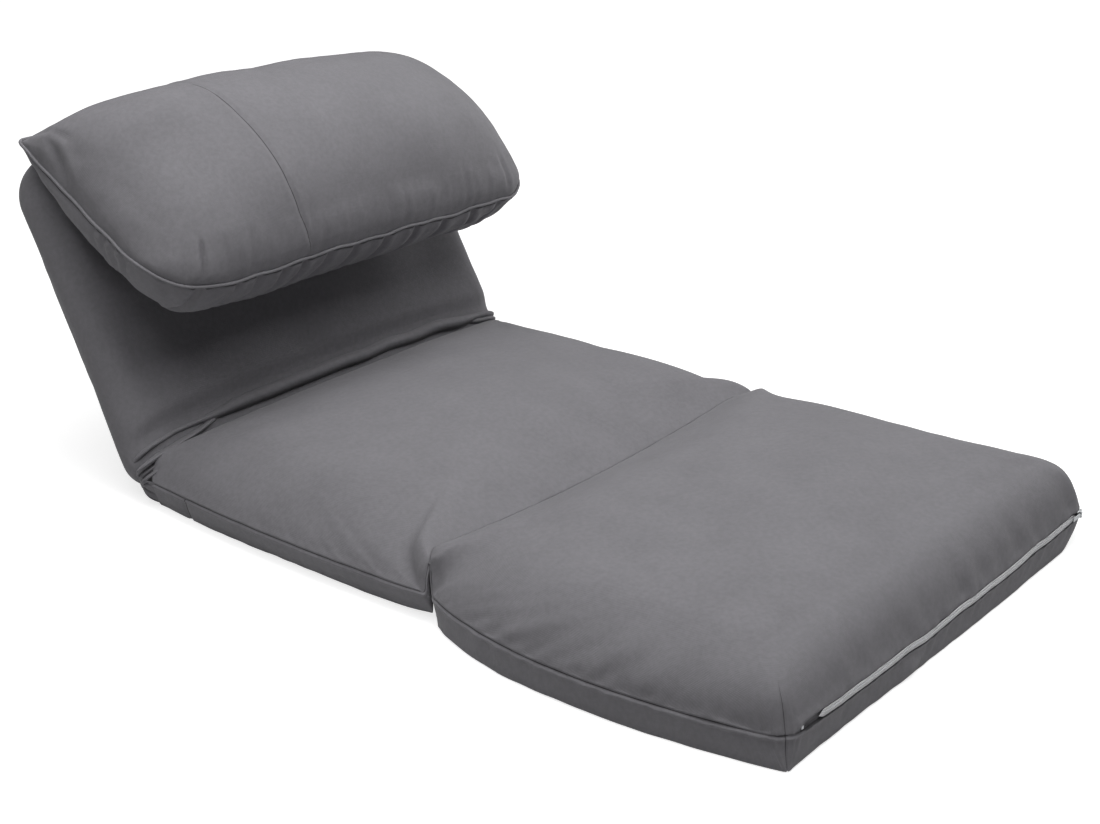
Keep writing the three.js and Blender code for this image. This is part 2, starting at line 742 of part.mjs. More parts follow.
function addSeat() {
  const slotHalf = cheekThickness + ratchetThickness / 2 + rivetHeadThickness * 2 + clearance * 3;
  const recessTop = seatTubeHeight + tubeRadius + webbingThickness + clearance * 6;
  const recessNear = foldY + seatTubeFront - tubeRadius - webbingThickness;
  const hingeSlots = [-1, 1].map((side) => boxBetween(
    [side * hingeHalfSpan - slotHalf, hingeY - armRivetReach - armEndRadius * 2, -overrun],
    [side * hingeHalfSpan + slotHalf, seatFar + overrun, hingeHeight + cheekDiscRadius]));
  const recess = boxBetween([-recessSide, recessNear, -overrun], [recessSide, seatFar + overrun, recessTop]);
  piece(lounger, 'seat_foam', cut(padFoam(seatPad), recess, ...hingeSlots), foam);

  const openY = hingeY - armRivetReach + flatLength / 2;
  const closedY = foldY + seatTubeFront;
  const crossY = openY - flatLength * 3;
  const slab = boxBetween([-recessSide + foamGap, recessNear + foamGap, baseTop],
    [recessSide - foamGap, hingeY - armRivetReach - flatLength, baseTop + seatUnderPadThickness]);
  const core = coreBetween(hingeHalfSpan, closedY + tubeRadius + foamGap, seatFar - bandTuck - foamGap,
    baseTop, seatTubeHeight + tubeRadius);
  const groove = crossGroove(crossY, seatTubeHeight);
  piece(lounger, 'seat_under_pad', cut(join(slab, core), groove), foam);
  piece(lounger, 'seat_top_panel', topPanel(seatPad), upholstery);

  const rearOpening = boxBetween(
    [-seatPad.halfWidth + seatRearRadius, seatFar - seatRearRadius, -overrun],
    [seatPad.halfWidth - seatRearRadius, seatFar + overrun, creaseSeamHeight + overrun]);
  piece(lounger, 'seat_side_band', cut(sideBand(seatPad), rearOpening), upholstery);
  piece(lounger, 'seat_base_cloth', flatSheet(outline(seatPad, bandTuck), 0, cloth), underCloth);

  const frame = new THREE.Group();
  frame.position.z = seatTubeHeight;
  lounger.add(frame);
  const rivetY = hingeY - armRivetReach;
  const bow = bowTube(hingeHalfSpan, openY, closedY);
  piece(frame, 'seat_frame', drilled(bow, hingeHalfSpan, rivetY), tubeSteel);
  piece(frame, 'seat_cross_tube', crossTube(hingeHalfSpan, crossY), tubeSteel);
  const webFrom = closedY + tubeBend + webbingWidth / 2;
  const webTo = openY - flatLength * 2 - webbingWidth / 2;
  for (let k = 0; k < seatWebbingCount; k++) {
    const y = THREE.MathUtils.lerp(webFrom, webTo, k / (seatWebbingCount - 1));
    piece(frame, `seat_webbing_${k + 1}`, strap(hingeHalfSpan, y), webbing);
  }
}

function addHinge(label, side, back) {
  const hinge = new THREE.Group();
  hinge.position.set(0, hingeY, hingeHeight);
  lounger.add(hinge);
  const x = side * hingeHalfSpan;
  const cheekOffset = (ratchetThickness + cheekThickness) / 2 + clearance;
  piece(hinge, `${label}_outer_cheek`, cheek(x + side * cheekOffset), plateSteel);
  piece(hinge, `${label}_inner_cheek`, cheek(x - side * cheekOffset), plateSteel);
  const grip = ratchetThickness + 2 * cheekThickness + 2 * clearance;
  const origin = new THREE.Vector2();
  piece(hinge, `${label}_pivot_rivet`,
    rivet(x, origin, pivotRadius, grip, rivetHeadRadius, rivetHeadThickness), plateSteel);
  const pins = { pawl_rivet: pawlPivot, spring_post: springPost, seat_arm_rivet: armRivet };
  for (const [name, place] of Object.entries(pins)) {
    const pin = rivet(x, place, pinRadius, grip, pinHeadRadius, pinHeadThickness);
    piece(hinge, `${label}_${name}`, pin, plateSteel);
  }
  piece(hinge, `${label}_pawl`, pawl(x), plateSteel);
  piece(hinge, `${label}_pawl_spring`, pawlSpring(x), plateSteel);
  piece(back, `${label}_ratchet_plate`, ratchetPlate(x), plateSteel);
  const backGrip = ratchetThickness + 2 * flatHalfThickness + clearance;
  const middle = x - side * (flatHalfThickness + clearance / 2);
  piece(back, `${label}_back_arm_rivet`,
    rivet(middle, ratchetArmEnd, pinRadius, backGrip, pinHeadRadius, pinHeadThickness), plateSteel);
}

// The backrest's own axes: Y up along it from the hinge, Z out of its front face
function addBack() {
  const back = new THREE.Group();
  back.position.set(0, hingeY, hingeHeight);
  back.rotation.x = Math.PI / 2 - backLean;
  lounger.add(back);

  const rearRings = (offset) => [0, 0.4, 0.75].map((share) => {
    const angle = share * Math.PI / 2;
    const height = backRear + offset + (backRoundover - offset) * (1 - Math.cos(angle));
    return outline(backPad, offset + backRoundover * (1 - Math.sin(angle))).map((p) =>
      new THREE.Vector3(p.x, p.y, height));
  });
  const shellRings = (offset) => {
    const top = topRings(backPad, offset);
    const side = outline(backPad, offset).map((p) => new THREE.Vector3(p.x, p.y, backMiddle));
    return { rings: [...rearRings(offset), side, ...top.rings.slice(1)], pole: top.pole };
  };
  const reach = backWidth / 2 + overrun;
  const belowCover = boxBetween([-reach, -backLowerEnd - overrun, backRear - overrun],
    [reach, backCoverStart, backFront + backCrown + overrun]);
  const cover = cut(coverOver(shellRings(0), shellRings(cloth)), belowCover);
  piece(back, 'back_front_cover', cover, upholstery);
  const rearCloth = outline(backPad, backRoundover + cloth + clearance);
  piece(back, 'back_rear_cover', flatSheet(rearCloth, backRear, cloth), underCloth);

  const railX = hingeHalfSpan - ratchetThickness / 2 - flatHalfThickness - clearance;
  const openY = ratchetArmLength - flatLength / 2;
  const closedY = backLength - backTubeTop;
  const crossY = openY + flatLength * 3;
  const inside = shellRings(coverInner);
  const block = blockInside(inside.rings, inside.pole);
  const slotWidth = ratchetThickness + 2 * cheekThickness + 4 * rivetHeadThickness;
  const slotRadius = hingeHeight + clearance * 6;
  const slots = [-1, 1].map((side) => barAcross(side * hingeHalfSpan, 0, 0, slotRadius, slotWidth));
  const pocketDepth = flatHalfHeight + foamGap;
  const pocketNear = Math.sqrt(slotRadius ** 2 - ratchetArmRadius ** 2) - overrun;
  const pocket = boxBetween([-recessSide, pocketNear, -pocketDepth - overrun],
    [recessSide, closedY + tubeRadius + webbingThickness + foamGap, pocketDepth]);
  const behindSplit = boxBetween([-reach, -backLowerEnd - overrun, backRear - overrun],
    [reach, backLength + overrun, -pocketDepth]);
  const beforeSplit = boxBetween([-reach, -backLowerEnd - overrun, -pocketDepth - foamGap],
    [reach, backLength + overrun, backFront + backCrown + overrun]);
  piece(back, 'back_foam', cut(block, behindSplit, pocket, ...slots), foam);
  const core = coreBetween(railX, -closedY + tubeRadius + foamGap, -pocketNear - foamGap,
    -tubeRadius, pocketDepth + foamGap * 2).rotateX(Math.PI);
  const rearPad = cut(join(cut(block, beforeSplit), core), crossGroove(crossY, 0), ...slots);
  piece(back, 'back_rear_pad', rearPad, foam);

  piece(back, 'back_frame', drilled(bowTube(railX, openY, closedY), railX, ratchetArmEnd.x), tubeSteel);
  piece(back, 'back_cross_tube', crossTube(railX, crossY), tubeSteel);
  const webFrom = openY + flatLength * 4 + webbingWidth / 2;
  const webTo = closedY - tubeBend - webbingWidth / 2;
  for (let k = 0; k < backWebbingCount; k++) {
    const y = THREE.MathUtils.lerp(webFrom, webTo, k / (backWebbingCount - 1));
    piece(back, `back_webbing_${k + 1}`, strap(railX, y), webbing);
  }

  const flapGap = clearance + cloth / 2;
  const flapFoot = new THREE.Vector2(backLength + flapGap, backMiddle);
  const flapHead = new THREE.Vector2(pillowHingeUp + flapGap, backFront + pillowHingeOut - cloth / 2);
  const flapBend = flapFoot.clone().lerp(flapHead, 0.5).add(new THREE.Vector2(-cloth, 0));
  piece(back, 'pillow_flap', sheetAcross([flapFoot, flapBend, flapHead], cloth,
    backWidth - 2 * backTopRadius), upholstery);
  addPillow(back);
  return back;
}

// The pillow's own axes: Y along its chord up to the sewn edge, Z out of its front panel
function addPillow(back) {
  const pillow = new THREE.Group();
  pillow.position.set(0, pillowHingeUp, backFront + pillowHingeOut);
  pillow.rotation.x = pillowTurn;
  back.add(pillow);
  const columns = pillowColumns();
  const seamShare = columns[pillowLeftColumns];
  const split = clearance / pillowWidth;
  const left = [...columns.slice(0, pillowLeftColumns), seamShare - split];
  const right = [seamShare + split, ...columns.slice(pillowLeftColumns + 1)];
  piece(pillow, 'pillow_front_panel_left', pillowPanel(1, left), upholstery);
  piece(pillow, 'pillow_front_panel_right', pillowPanel(1, right), upholstery);
  piece(pillow, 'pillow_back_panel', pillowPanel(-1, columns), upholstery);
  const filling = bodyBetween(pillowGrid(1, coverInner, columns), pillowGrid(-1, coverInner, columns));
  piece(pillow, 'pillow_filling', filling, fibre);
}

// The folded cloth between the seat and the backrest, in front and underneath
function addCrease() {
  const upAngle = Math.PI / 2 - backLean;
  const onBack = (up, out) => new THREE.Vector2(
    hingeY + up * Math.cos(upAngle) - out * Math.sin(upAngle),
    hingeHeight + up * Math.sin(upAngle) + out * Math.cos(upAngle));
  const rollShares = [[0.95, 1.17], [1.35, 1.42], [1.95, 1.5], [2.5, 1.42]];
  const rollEnd = backCoverStart * 3;
  const path = [
    new THREE.Vector2(seatFar - seamGroove + clearance + cloth, creaseSeamHeight - cloth * 3),
    ...rollShares.map(([up, out]) => onBack(backCoverStart * up, backFront * out)),
    onBack(rollEnd, topHeight(backPad, 0, rollEnd) + clearance + cloth),
  ];
  piece(lounger, 'crease_fold_cloth',
    sheetAcross(path, 2 * cloth, 2 * (creaseHalfWidth - backLowerRadius)), upholstery);
  const roundCentre = onBack(backRoundover - backLowerEnd, backMiddle);
  const roundRadius = backRoundover - cloth / 2;
  const under = [new THREE.Vector2(seatFar - bandTuck + clearance, cloth / 2)];
  const arcSteps = 4;
  for (let k = 0; k <= arcSteps; k++) {
    const angle = THREE.MathUtils.lerp(-Math.PI / 2, -backLean, k / arcSteps);
    under.push(polar(roundRadius, angle).add(roundCentre));
  }
  const underWidth = 2 * (creaseHalfWidth - 2 * backLowerRadius);
  piece(lounger, 'crease_under_cloth', sheetAcross(under, cloth, underWidth), underCloth);
}

// The zip stands in the gap between the leg section's band and its top panel
function addZip(leg) {
  const half = legPad.halfWidth - footRadius;
  const face = legNear;
  const middleHeight = (zipLow + zipHigh) / 2;
  const lower = zipLow + clearance;
  const upper = zipHigh - clearance;
  piece(leg, 'zip_lower_tape',
    boxBetween([-half, face, lower], [half, face + cloth, lower + tapeWidth]), tape);
  piece(leg, 'zip_upper_tape',
    boxBetween([-half, face, upper - tapeWidth], [half, face + cloth, upper]), tape);
  const chainLow = lower + tapeWidth + clearance;
  const chainHigh = upper - tapeWidth - clearance;
  const chainFace = face - (chainThickness - cloth);
  const chainHalf = half - stopLength - clearance;
  piece(leg, 'zip_chain',
    boxBetween([-chainHalf, chainFace, chainLow], [chainHalf, face + cloth, chainHigh]), nylon);
  for (const [name, low] of [['zip_left_stop', -half], ['zip_right_stop', half - stopLength]]) {
    const high = [low + stopLength, face + cloth, chainHigh];
    piece(leg, name, boxBetween([low, chainFace, chainLow], high), zipMetal);
  }

  const parked = half - stopLength - sliderLength / 2 - clearance;
  const sliderFace = chainFace - clearance;
  const bodyOutline = [[-1, -0.86], [0.4, -0.86], [1, -1], [1, 1], [0.4, 0.86], [-1, 0.86]].map(([u, v]) =>
    new THREE.Vector2(parked + u * sliderLength / 2, middleHeight + v * sliderHeight / 2));
  const body = new THREE.ExtrudeGeometry(new THREE.Shape(bodyOutline),
    { depth: sliderThickness, bevelEnabled: false });
  body.rotateX(Math.PI / 2).translate(0, sliderFace, 0);
  const pinY = sliderFace - sliderThickness - sliderPinRadius - clearance * 3;
  const eyeHalf = pullHeight / 2;
  const lugThickness = sliderPinRadius;
  const lugs = [-1, 1].map((side) => {
    const low = middleHeight + side * (eyeHalf + clearance + lugThickness / 2) - lugThickness / 2;
    return boxBetween([parked - pullThickness, pinY - pullThickness, low],
      [parked + pullThickness, sliderFace - sliderThickness / 2, low + lugThickness]);
  });
  const pin = new THREE.CylinderGeometry(sliderPinRadius, sliderPinRadius,
    pullHeight + 2 * clearance + lugThickness, roundSides / 2);
  pin.rotateX(Math.PI / 2).translate(parked, pinY, middleHeight);
  piece(leg, 'zip_slider', join(body, ...lugs, pin), zipMetal);

  const eyeRadius = sliderPinRadius + clearance;
  const pull = boxBetween([parked - pullLength, pinY - pullThickness / 2, middleHeight - eyeHalf],
    [parked, pinY + pullThickness / 2, middleHeight + eyeHalf]);
  const eyeRim = new THREE.CylinderGeometry(eyeRadius + clearance, eyeRadius + clearance, pullHeight,
    roundSides / 2);
  eyeRim.rotateX(Math.PI / 2).translate(parked, pinY, middleHeight);
  const eye = new THREE.CylinderGeometry(eyeRadius, eyeRadius, pullHeight + 2 * overrun, roundSides / 2);
  eye.rotateX(Math.PI / 2).translate(parked, pinY, middleHeight);
  piece(leg, 'zip_pull', cut(join(pull, eyeRim), eye), zipMetal);
}

function addLeg() {
  const half = legPad.halfWidth - footRadius;
  const atFoot = (p) => p.y < legNear + clearance && Math.abs(p.x) < half + clearance;
  const raised = (p) => (atFoot(p) ? zipHigh - seamHeight : 0);
  const lowered = (p) => (atFoot(p) ? zipLow - seamHeight + clearance : 0);
  piece(lounger, 'leg_foam', padFoam(legPad), foam);
  piece(lounger, 'leg_top_panel', topPanel(legPad, raised), upholstery);
  piece(lounger, 'leg_side_band', sideBand(legPad, lowered), upholstery);
  piece(lounger, 'leg_base_cloth', flatSheet(outline(legPad, bandTuck), 0, cloth), underCloth);

  const middle = foldY - foldSlot / 2;
  const reach = foldSlot / 2 + seamGroove - clearance - cloth / 2;
  const path = [[-reach, 4], [0, 2], [reach, 4]].map(([y, drop]) =>
    new THREE.Vector2(middle + y, foldSeamHeight - cloth * drop));
  const foldWidth = Math.min(seatWidth, legWidth) - 2 * legRearRadius;
  piece(lounger, 'fold_cloth', sheetAcross(path, cloth, foldWidth), upholstery);
  addZip(lounger);
}

addSeat();
const back = addBack();
addHinge('left', -1, back);
addHinge('right', 1, back);
addCrease();
addLeg();

export default lounger;
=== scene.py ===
# A fold-out floor lounger in grey upholstery cloth: crowned seat and leg sections with sewn side bands, a
# reclined backrest, rolled folds of cloth in the crease between them, and a large pillow at its top.
# Metres. X runs across, +Y points to the back, +Z up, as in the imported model.

import json
import math
from types import SimpleNamespace as Sizes

import bpy
import numpy as np
from mathutils import Matrix, Vector


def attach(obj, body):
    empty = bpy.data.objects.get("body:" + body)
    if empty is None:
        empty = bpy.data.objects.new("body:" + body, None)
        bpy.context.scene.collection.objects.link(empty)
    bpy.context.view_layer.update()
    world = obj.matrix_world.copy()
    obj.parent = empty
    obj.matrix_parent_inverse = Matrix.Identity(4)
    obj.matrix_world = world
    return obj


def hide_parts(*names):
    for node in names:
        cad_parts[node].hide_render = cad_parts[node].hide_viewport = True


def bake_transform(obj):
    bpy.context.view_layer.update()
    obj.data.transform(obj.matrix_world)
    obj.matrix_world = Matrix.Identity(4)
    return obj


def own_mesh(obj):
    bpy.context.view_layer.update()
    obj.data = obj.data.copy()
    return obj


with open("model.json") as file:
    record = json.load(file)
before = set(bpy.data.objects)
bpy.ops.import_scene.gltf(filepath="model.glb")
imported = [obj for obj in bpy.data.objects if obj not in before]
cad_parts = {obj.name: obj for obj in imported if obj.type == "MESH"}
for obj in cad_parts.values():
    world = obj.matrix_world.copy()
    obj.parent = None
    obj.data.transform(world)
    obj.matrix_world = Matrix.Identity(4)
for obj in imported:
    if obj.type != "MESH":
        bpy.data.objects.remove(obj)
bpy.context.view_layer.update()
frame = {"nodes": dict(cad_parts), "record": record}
scene = bpy.context.scene

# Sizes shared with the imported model
HINGE_Y = 0.264
HINGE_Z = 0.040
BACK_LEAN = math.radians(29.8)
FOLD_Y = -0.230
FOLD_SLOT = 0.003
ZIP_LOW = 0.033
ZIP_HIGH = 0.0445
PILLOW_HINGE_UP = 0.441
PILLOW_HINGE_OUT = 0.033
PILLOW_TURN = math.radians(-33.5)

# Each pad: its outline, the heights of its top and seam, and how wide its top rounds over on each side.
# Pairs of values are for left and right, or near and far. Counts are of points across, along and per corner
SEAT = Sizes(half_width=0.358, near=FOLD_Y - 0.0012, far=0.236, radii=(0.008, 0.012, 0.014, 0.014),
             foot_radii=(1.0, 1.0), inner_radii=(0.11, 0.03), bulge=(0.009, 0.004), peak=0.0, edge=0.089,
             crown=0.116, seam=0.036, near_seam=(0.062, 0.0180), far_seam=(0.070, -0.012), round_side=0.090,
             round_near=0.115, round_far=0.032, near_slope=0.8, far_slope=0.0, foot_full=0.0,
             tuck=(0.014, 0.004, 0.002), counts=(78, 50, 12))
LEG = Sizes(half_width=0.354, near=-0.7360, far=FOLD_Y - FOLD_SLOT + 0.0012,
            radii=(0.026, 0.041, 0.018, 0.016), foot_radii=(0.2, 2.0), inner_radii=(0.015, 0.11),
            bulge=(0.040, 0.010), peak=0.030, edge=0.096, crown=0.116, seam=0.036, near_seam=(0.036, 0.0),
            far_seam=(0.062, 0.0180), round_side=0.078, round_near=0.055, round_far=0.115, near_slope=0.0,
            far_slope=0.8, foot_full=0.022, tuck=(-0.001, -0.003, 0.004), counts=(78, 54, 14))
BACK = Sizes(half_width=0.357, near=-0.030, far=0.432, radii=(0.042, 0.042, 0.062, 0.062),
             foot_radii=(1.0, 1.0), inner_radii=(0, 0), bulge=(0.0, 0.0), peak=0.0, front=0.030, rear=-0.040,
             crown=0.008, roundover=0.035, shift=0.005, counts=(76, 50, 16))
PILLOW = Sizes(half_width=0.350, length=0.322, corners=(0.088, 0.064), ear=0.010, front=0.118, belly=0.116)

# Distances of the rings of vertices beside a seam, and steps up a band and round an edge
NEAR_RINGS = [0.0015, 0.003, 0.0045, 0.006, 0.008]
BAND_STEPS = 6
TURN_STEPS = 14

# The smallest share of a corner's radius that an inset leaves
LEAST_RADIUS = 0.35


# Numbers over arrays

def ease(low, high, values):
    share = np.clip((values - low) / (high - low), 0, 1)
    return share * share * (3 - 2 * share)


def bell(values, width):
    return np.exp(-(values / width) ** 2)


# A sum of sine waves in random directions, the same on every run
class Waves:
    def __init__(self, seed, wavelength, count=7, dimensions=3):
        random = np.random.default_rng(seed)
        directions = random.normal(size=(count, dimensions))
        directions /= np.linalg.norm(directions, axis=1)[:, None]
        lengths = wavelength * random.uniform(0.7, 1.5, count)
        self.numbers = directions * (math.tau / lengths)[:, None]
        self.phases = random.uniform(0, math.tau, count)
        self.scale = 1 / math.sqrt(count / 2)

    def at(self, points):
        return np.sin(points @ self.numbers.T + self.phases).sum(axis=1) * self.scale


# Frames of the backrest and the pillow

back_frame = Matrix.Translation((0, HINGE_Y, HINGE_Z)) @ Matrix.Rotation(math.pi / 2 - BACK_LEAN, 4, "X")
pillow_frame = (back_frame @ Matrix.Translation((0, PILLOW_HINGE_UP, PILLOW_HINGE_OUT))
                @ Matrix.Rotation(PILLOW_TURN, 4, "X"))


def moved(points, matrix):
    turn = np.array(matrix.to_3x3())
    return np.asarray(points) @ turn.T + np.array(matrix.translation)


# Rings round a rounded rectangle

# Counter-clockwise from above, starting in the middle of the near left corner
def rounded_ring(half_width, near, far, radii, counts):
    across, along, corner = counts
    half_corner = corner // 2
    eighth = math.radians(45)

    # A point on a corner's round, in a direction from its centre
    def on_corner(number, angle):
        radius = radii[number]
        x = (half_width - radius) * (1 if number in (1, 2) else -1)
        y = near + radius if number < 2 else far - radius
        return np.array([x, y]) + radius * np.array([math.cos(angle), math.sin(angle)])

    points = []
    for side, straight in enumerate((across, along, across, along)):
        following = (side + 1) % 4
        down = math.radians(270 + 90 * side)
        points += [on_corner(side, down - eighth * (1 - k / half_corner)) for k in range(half_corner)]
        start, end = on_corner(side, down), on_corner(following, down)
        points += [start + (end - start) * k / straight for k in range(straight)]
        points += [on_corner(following, down + eighth * k / half_corner) for k in range(half_corner)]
    return np.array(points)


# A pad's outline, drawn in by insets at its sides, its near end and its far end
def outline(pad, insets, low=0.0, inner=0.0):
    side, near_inset, far_inset = insets
    radii = []
    for number, radius in enumerate(pad.radii):
        end = number // 2
        least = max(radius - (side + insets[1 + end]) / 2, radius * LEAST_RADIUS)
        share = 1 if end else 1 + (pad.foot_radii[number] - 1) * low
        radii.append(least * share + inner * pad.inner_radii[end])
    near, far = pad.near + near_inset, pad.far - far_inset
    ring = rounded_ring(pad.half_width - side, near, far, radii, pad.counts)
    widest = (near + far) / 2 + pad.peak
    reach = np.where(ring[:, 1] < widest, widest - near, far - widest)
    share = (ring[:, 1] - widest) / reach
    bulge = np.where(ring[:, 0] < 0, *pad.bulge)
    ring[:, 0] *= 1 + bulge / pad.half_width * np.clip(1 - share ** 2, 0, 1) ** 1.15
    return ring


# A ring's near, right, far and left side, each in the direction of X or Y
def ring_sides(ring, counts):
    across, along, corner = counts
    nx, ny = across + corner, along + corner
    return (ring[:nx + 1], ring[nx:nx + ny + 1], ring[nx + ny:2 * nx + ny + 1][::-1],
            np.concatenate([ring[2 * nx + ny:], ring[:1]])[::-1])


# The grid of points inside a ring, between its four sides
def filled(ring, counts):
    low, right, high, left = ring_sides(ring, counts)
    u = np.linspace(0, 1, len(low))[:, None, None]
    v = np.linspace(0, 1, len(left))[None, :, None]
    grid = (1 - v) * low[:, None] + v * high[:, None] + (1 - u) * left[None] + u * right[None]
    grid -= ((1 - u) * (1 - v) * low[0] + u * (1 - v) * low[-1]
             + u * v * high[-1] + (1 - u) * v * high[0])
    return grid


# The faces between the rows and columns of a grid of vertex numbers
def grid_quads(index):
    return np.stack([index[:-1, :-1], index[1:, :-1], index[1:, 1:], index[:-1, 1:]], -1).reshape(-1, 4)


# Vertices in rings, closed by a grid inside the last ring and, where asked, one inside the first
class Shell:
    def __init__(self, counts):
        self.counts = counts
        self.points = np.zeros((0, 3))
        self.values = {}
        self.faces = []
        self.rings = []

    def add(self, points, values):
        start = len(self.points)
        self.points = np.concatenate([self.points, points])
        for name, value in values.items():
            column = np.broadcast_to(np.asarray(value, float), (len(points),))
            self.values.setdefault(name, []).append(column)
        return np.arange(start, start + len(points))

    def ring(self, points, **values):
        index = self.add(points, values)
        if self.rings:
            last = self.rings[-1]
            self.faces += list(zip(last, np.roll(last, -1), np.roll(index, -1), index))
        self.rings.append(index)

    # Closes a ring with a grid whose height above the plan is a function of it
    def lid(self, ring_number, height, flipped=False, **values):
        ring = self.rings[ring_number]
        grid = filled(self.points[ring][:, :2], self.counts)
        index = np.zeros(grid.shape[:2], int)
        index[:, 0], index[-1], index[:, -1], index[0] = ring_sides(ring, self.counts)
        inner = grid[1:-1, 1:-1].reshape(-1, 2)
        added = self.add(np.c_[inner, height(inner)], values)
        index[1:-1, 1:-1] = added.reshape(index[1:-1, 1:-1].shape)
        quads = grid_quads(index)
        self.faces += list(quads[:, ::-1] if flipped else quads)

    def build(self, name):
        return make_mesh(name, self.points, self.faces,
                         {key: np.concatenate(parts) for key, parts in self.values.items()})


def add_object(name, data):
    obj = bpy.data.objects.new(name, data)
    scene.collection.objects.link(obj)
    return obj


def make_mesh(name, points, faces, values=None):
    mesh = bpy.data.meshes.new(name)
    mesh.from_pydata(np.asarray(points, float).tolist(), [], np.asarray(faces).tolist())
    for key, value in (values or {}).items():
        mesh.attributes.new(key, "FLOAT", "POINT").data.foreach_set("value", np.asarray(value, np.float32))
    mesh.shade_smooth()
    mesh.update()
    return add_object(name, mesh)


# A value of each item, in rows of some columns
def read(items, name, columns):
    found = np.zeros(len(items) * columns)
    items.foreach_get(name, found)
    return found.reshape(-1, columns)


def positions(obj):
    return read(obj.data.vertices, "co", 3)


def normals(obj):
    return read(obj.data.vertex_normals, "vector", 3)


def value_of(obj, name):
    return read(obj.data.attributes[name].data, "value", 1).ravel()


def set_value(obj, name, value):
    attribute = obj.data.attributes.get(name) or obj.data.attributes.new(name, "FLOAT", "POINT")
    attribute.data.foreach_set("value", np.asarray(value, np.float32))


def place(obj, points):
    obj.data.vertices.foreach_set("co", np.asarray(points, float).ravel())
    obj.data.update()


def push(obj, amount):
    place(obj, positions(obj) + normals(obj) * amount[:, None])


# Modifiers, applied

def applied(obj):
    bpy.context.view_layer.update()
    graph = bpy.context.evaluated_depsgraph_get()
    mesh = bpy.data.meshes.new_from_object(obj.evaluated_get(graph), depsgraph=graph)
    old = obj.data
    obj.modifiers.clear()
    obj.data = mesh
    bpy.data.meshes.remove(old)
    obj.data.shade_smooth()


def subdivided(obj):
    smooth = obj.modifiers.new("Subdivision", "SUBSURF")
    smooth.levels = smooth.render_levels = 1
    applied(obj)


def softened(obj, iterations, group=""):
    smooth = obj.modifiers.new("Smooth", "SMOOTH")
    smooth.factor = 0.5
    smooth.iterations = iterations
    smooth.vertex_group = group
    applied(obj)


FULLNESS_LEVELS = 10
CLOTH_FRAMES = 20


# Cloth blown up from its seams, which stay where they are. Near the seams the cloth is cut fuller, so it
# gathers. No point moves further than the cap
def inflated(obj, pinned, pressure, cap, fullness, slack, seed):
    start = positions(obj)
    place(obj, start + normals(obj) * Waves(seed, 0.03).at(start)[:, None] * 0.0003)
    obj.vertex_groups.new(name="held").add(pinned.tolist(), 1.0, "REPLACE")
    full = obj.vertex_groups.new(name="full")
    for level in range(1, FULLNESS_LEVELS + 1):
        low, high = (level - 0.5) / FULLNESS_LEVELS, (level + 0.5) / FULLNESS_LEVELS
        chosen = np.nonzero((fullness > low) & (fullness <= high))[0]
        if len(chosen):
            full.add(chosen.tolist(), level / FULLNESS_LEVELS, "REPLACE")
    cloth = obj.modifiers.new("Cloth", "CLOTH")
    for key, value in dict(quality=4, mass=0.3, tension_stiffness=12, compression_stiffness=12,
                           shear_stiffness=4, bending_stiffness=0.4, use_pressure=True,
                           uniform_pressure_force=pressure, vertex_group_mass="held", shrink_min=0,
                           vertex_group_shrink="full", shrink_max=slack).items():
        setattr(cloth.settings, key, value)
    cloth.settings.effector_weights.gravity = 0
    cloth.collision_settings.use_collision = False
    cloth.point_cache.frame_start = 1
    cloth.point_cache.frame_end = CLOTH_FRAMES
    for number in range(1, CLOTH_FRAMES + 1):
        scene.frame_set(number)
    applied(obj)
    scene.frame_set(1)
    obj.vertex_groups.clear()
    step = positions(obj) - start
    length = np.linalg.norm(step, axis=1)
    step *= (cap * np.tanh(length / cap) / np.maximum(length, 1e-9))[:, None]
    place(obj, start + step)


# Materials

def fill(node, inputs):
    for entry, value in inputs.items():
        node.inputs[entry].default_value = value


# A new node of a tree, with its input values by name or number
def add_node(tree, kind, inputs=None, operation=None):
    node = tree.nodes.new("ShaderNode" + kind)
    if operation:
        node.operation = operation
    fill(node, inputs or {})
    return node


# Links given as (from node, output, to node, input)
def link(tree, *links):
    for source, output, target, entry in links:
        tree.links.new(source.outputs[output], target.inputs[entry])


def new_material(name, inputs):
    material = bpy.data.materials.new(name)
    material.use_nodes = True
    shader = material.node_tree.nodes["Principled BSDF"]
    fill(shader, inputs)
    return material, material.node_tree, shader


def add_noise(tree, scale, detail, roughness=0.5):
    return add_node(tree, "TexNoise", {"Scale": scale, "Detail": detail, "Roughness": roughness})


# A ramp between two shades of a colour
def add_ramp(tree, low, high, colour, low_shade, high_shade):
    node = add_node(tree, "ValToRGB")
    for element, place_at, shade in zip(node.color_ramp.elements, (low, high), (low_shade, high_shade)):
        element.position = place_at
        element.color = (*(part * shade for part in colour), 1)
    return node


# How strongly a dark line shows, from the mesh's signed distance to it and its share. Along seams it is the
# dark thread with painted shade in the groove; in the crease's hollows and along the foot's pleat it is
# painted shade
def seam_and_shade_strength(tree, name):
    distance = add_node(tree, "Attribute")
    distance.attribute_name = name
    share = add_node(tree, "Attribute")
    share.attribute_name = name + "_share"
    size = add_node(tree, "Math", operation="ABSOLUTE")
    close = add_node(tree, "MapRange", {"From Min": 0.0003, "From Max": 0.0010, "To Min": 1.0, "To Max": 0.0})
    close.interpolation_type = "SMOOTHSTEP"
    product = add_node(tree, "Math", operation="MULTIPLY")
    link(tree, (distance, "Fac", size, 0), (size, 0, close, "Value"), (close, "Result", product, 0),
         (share, "Fac", product, 1))
    return product
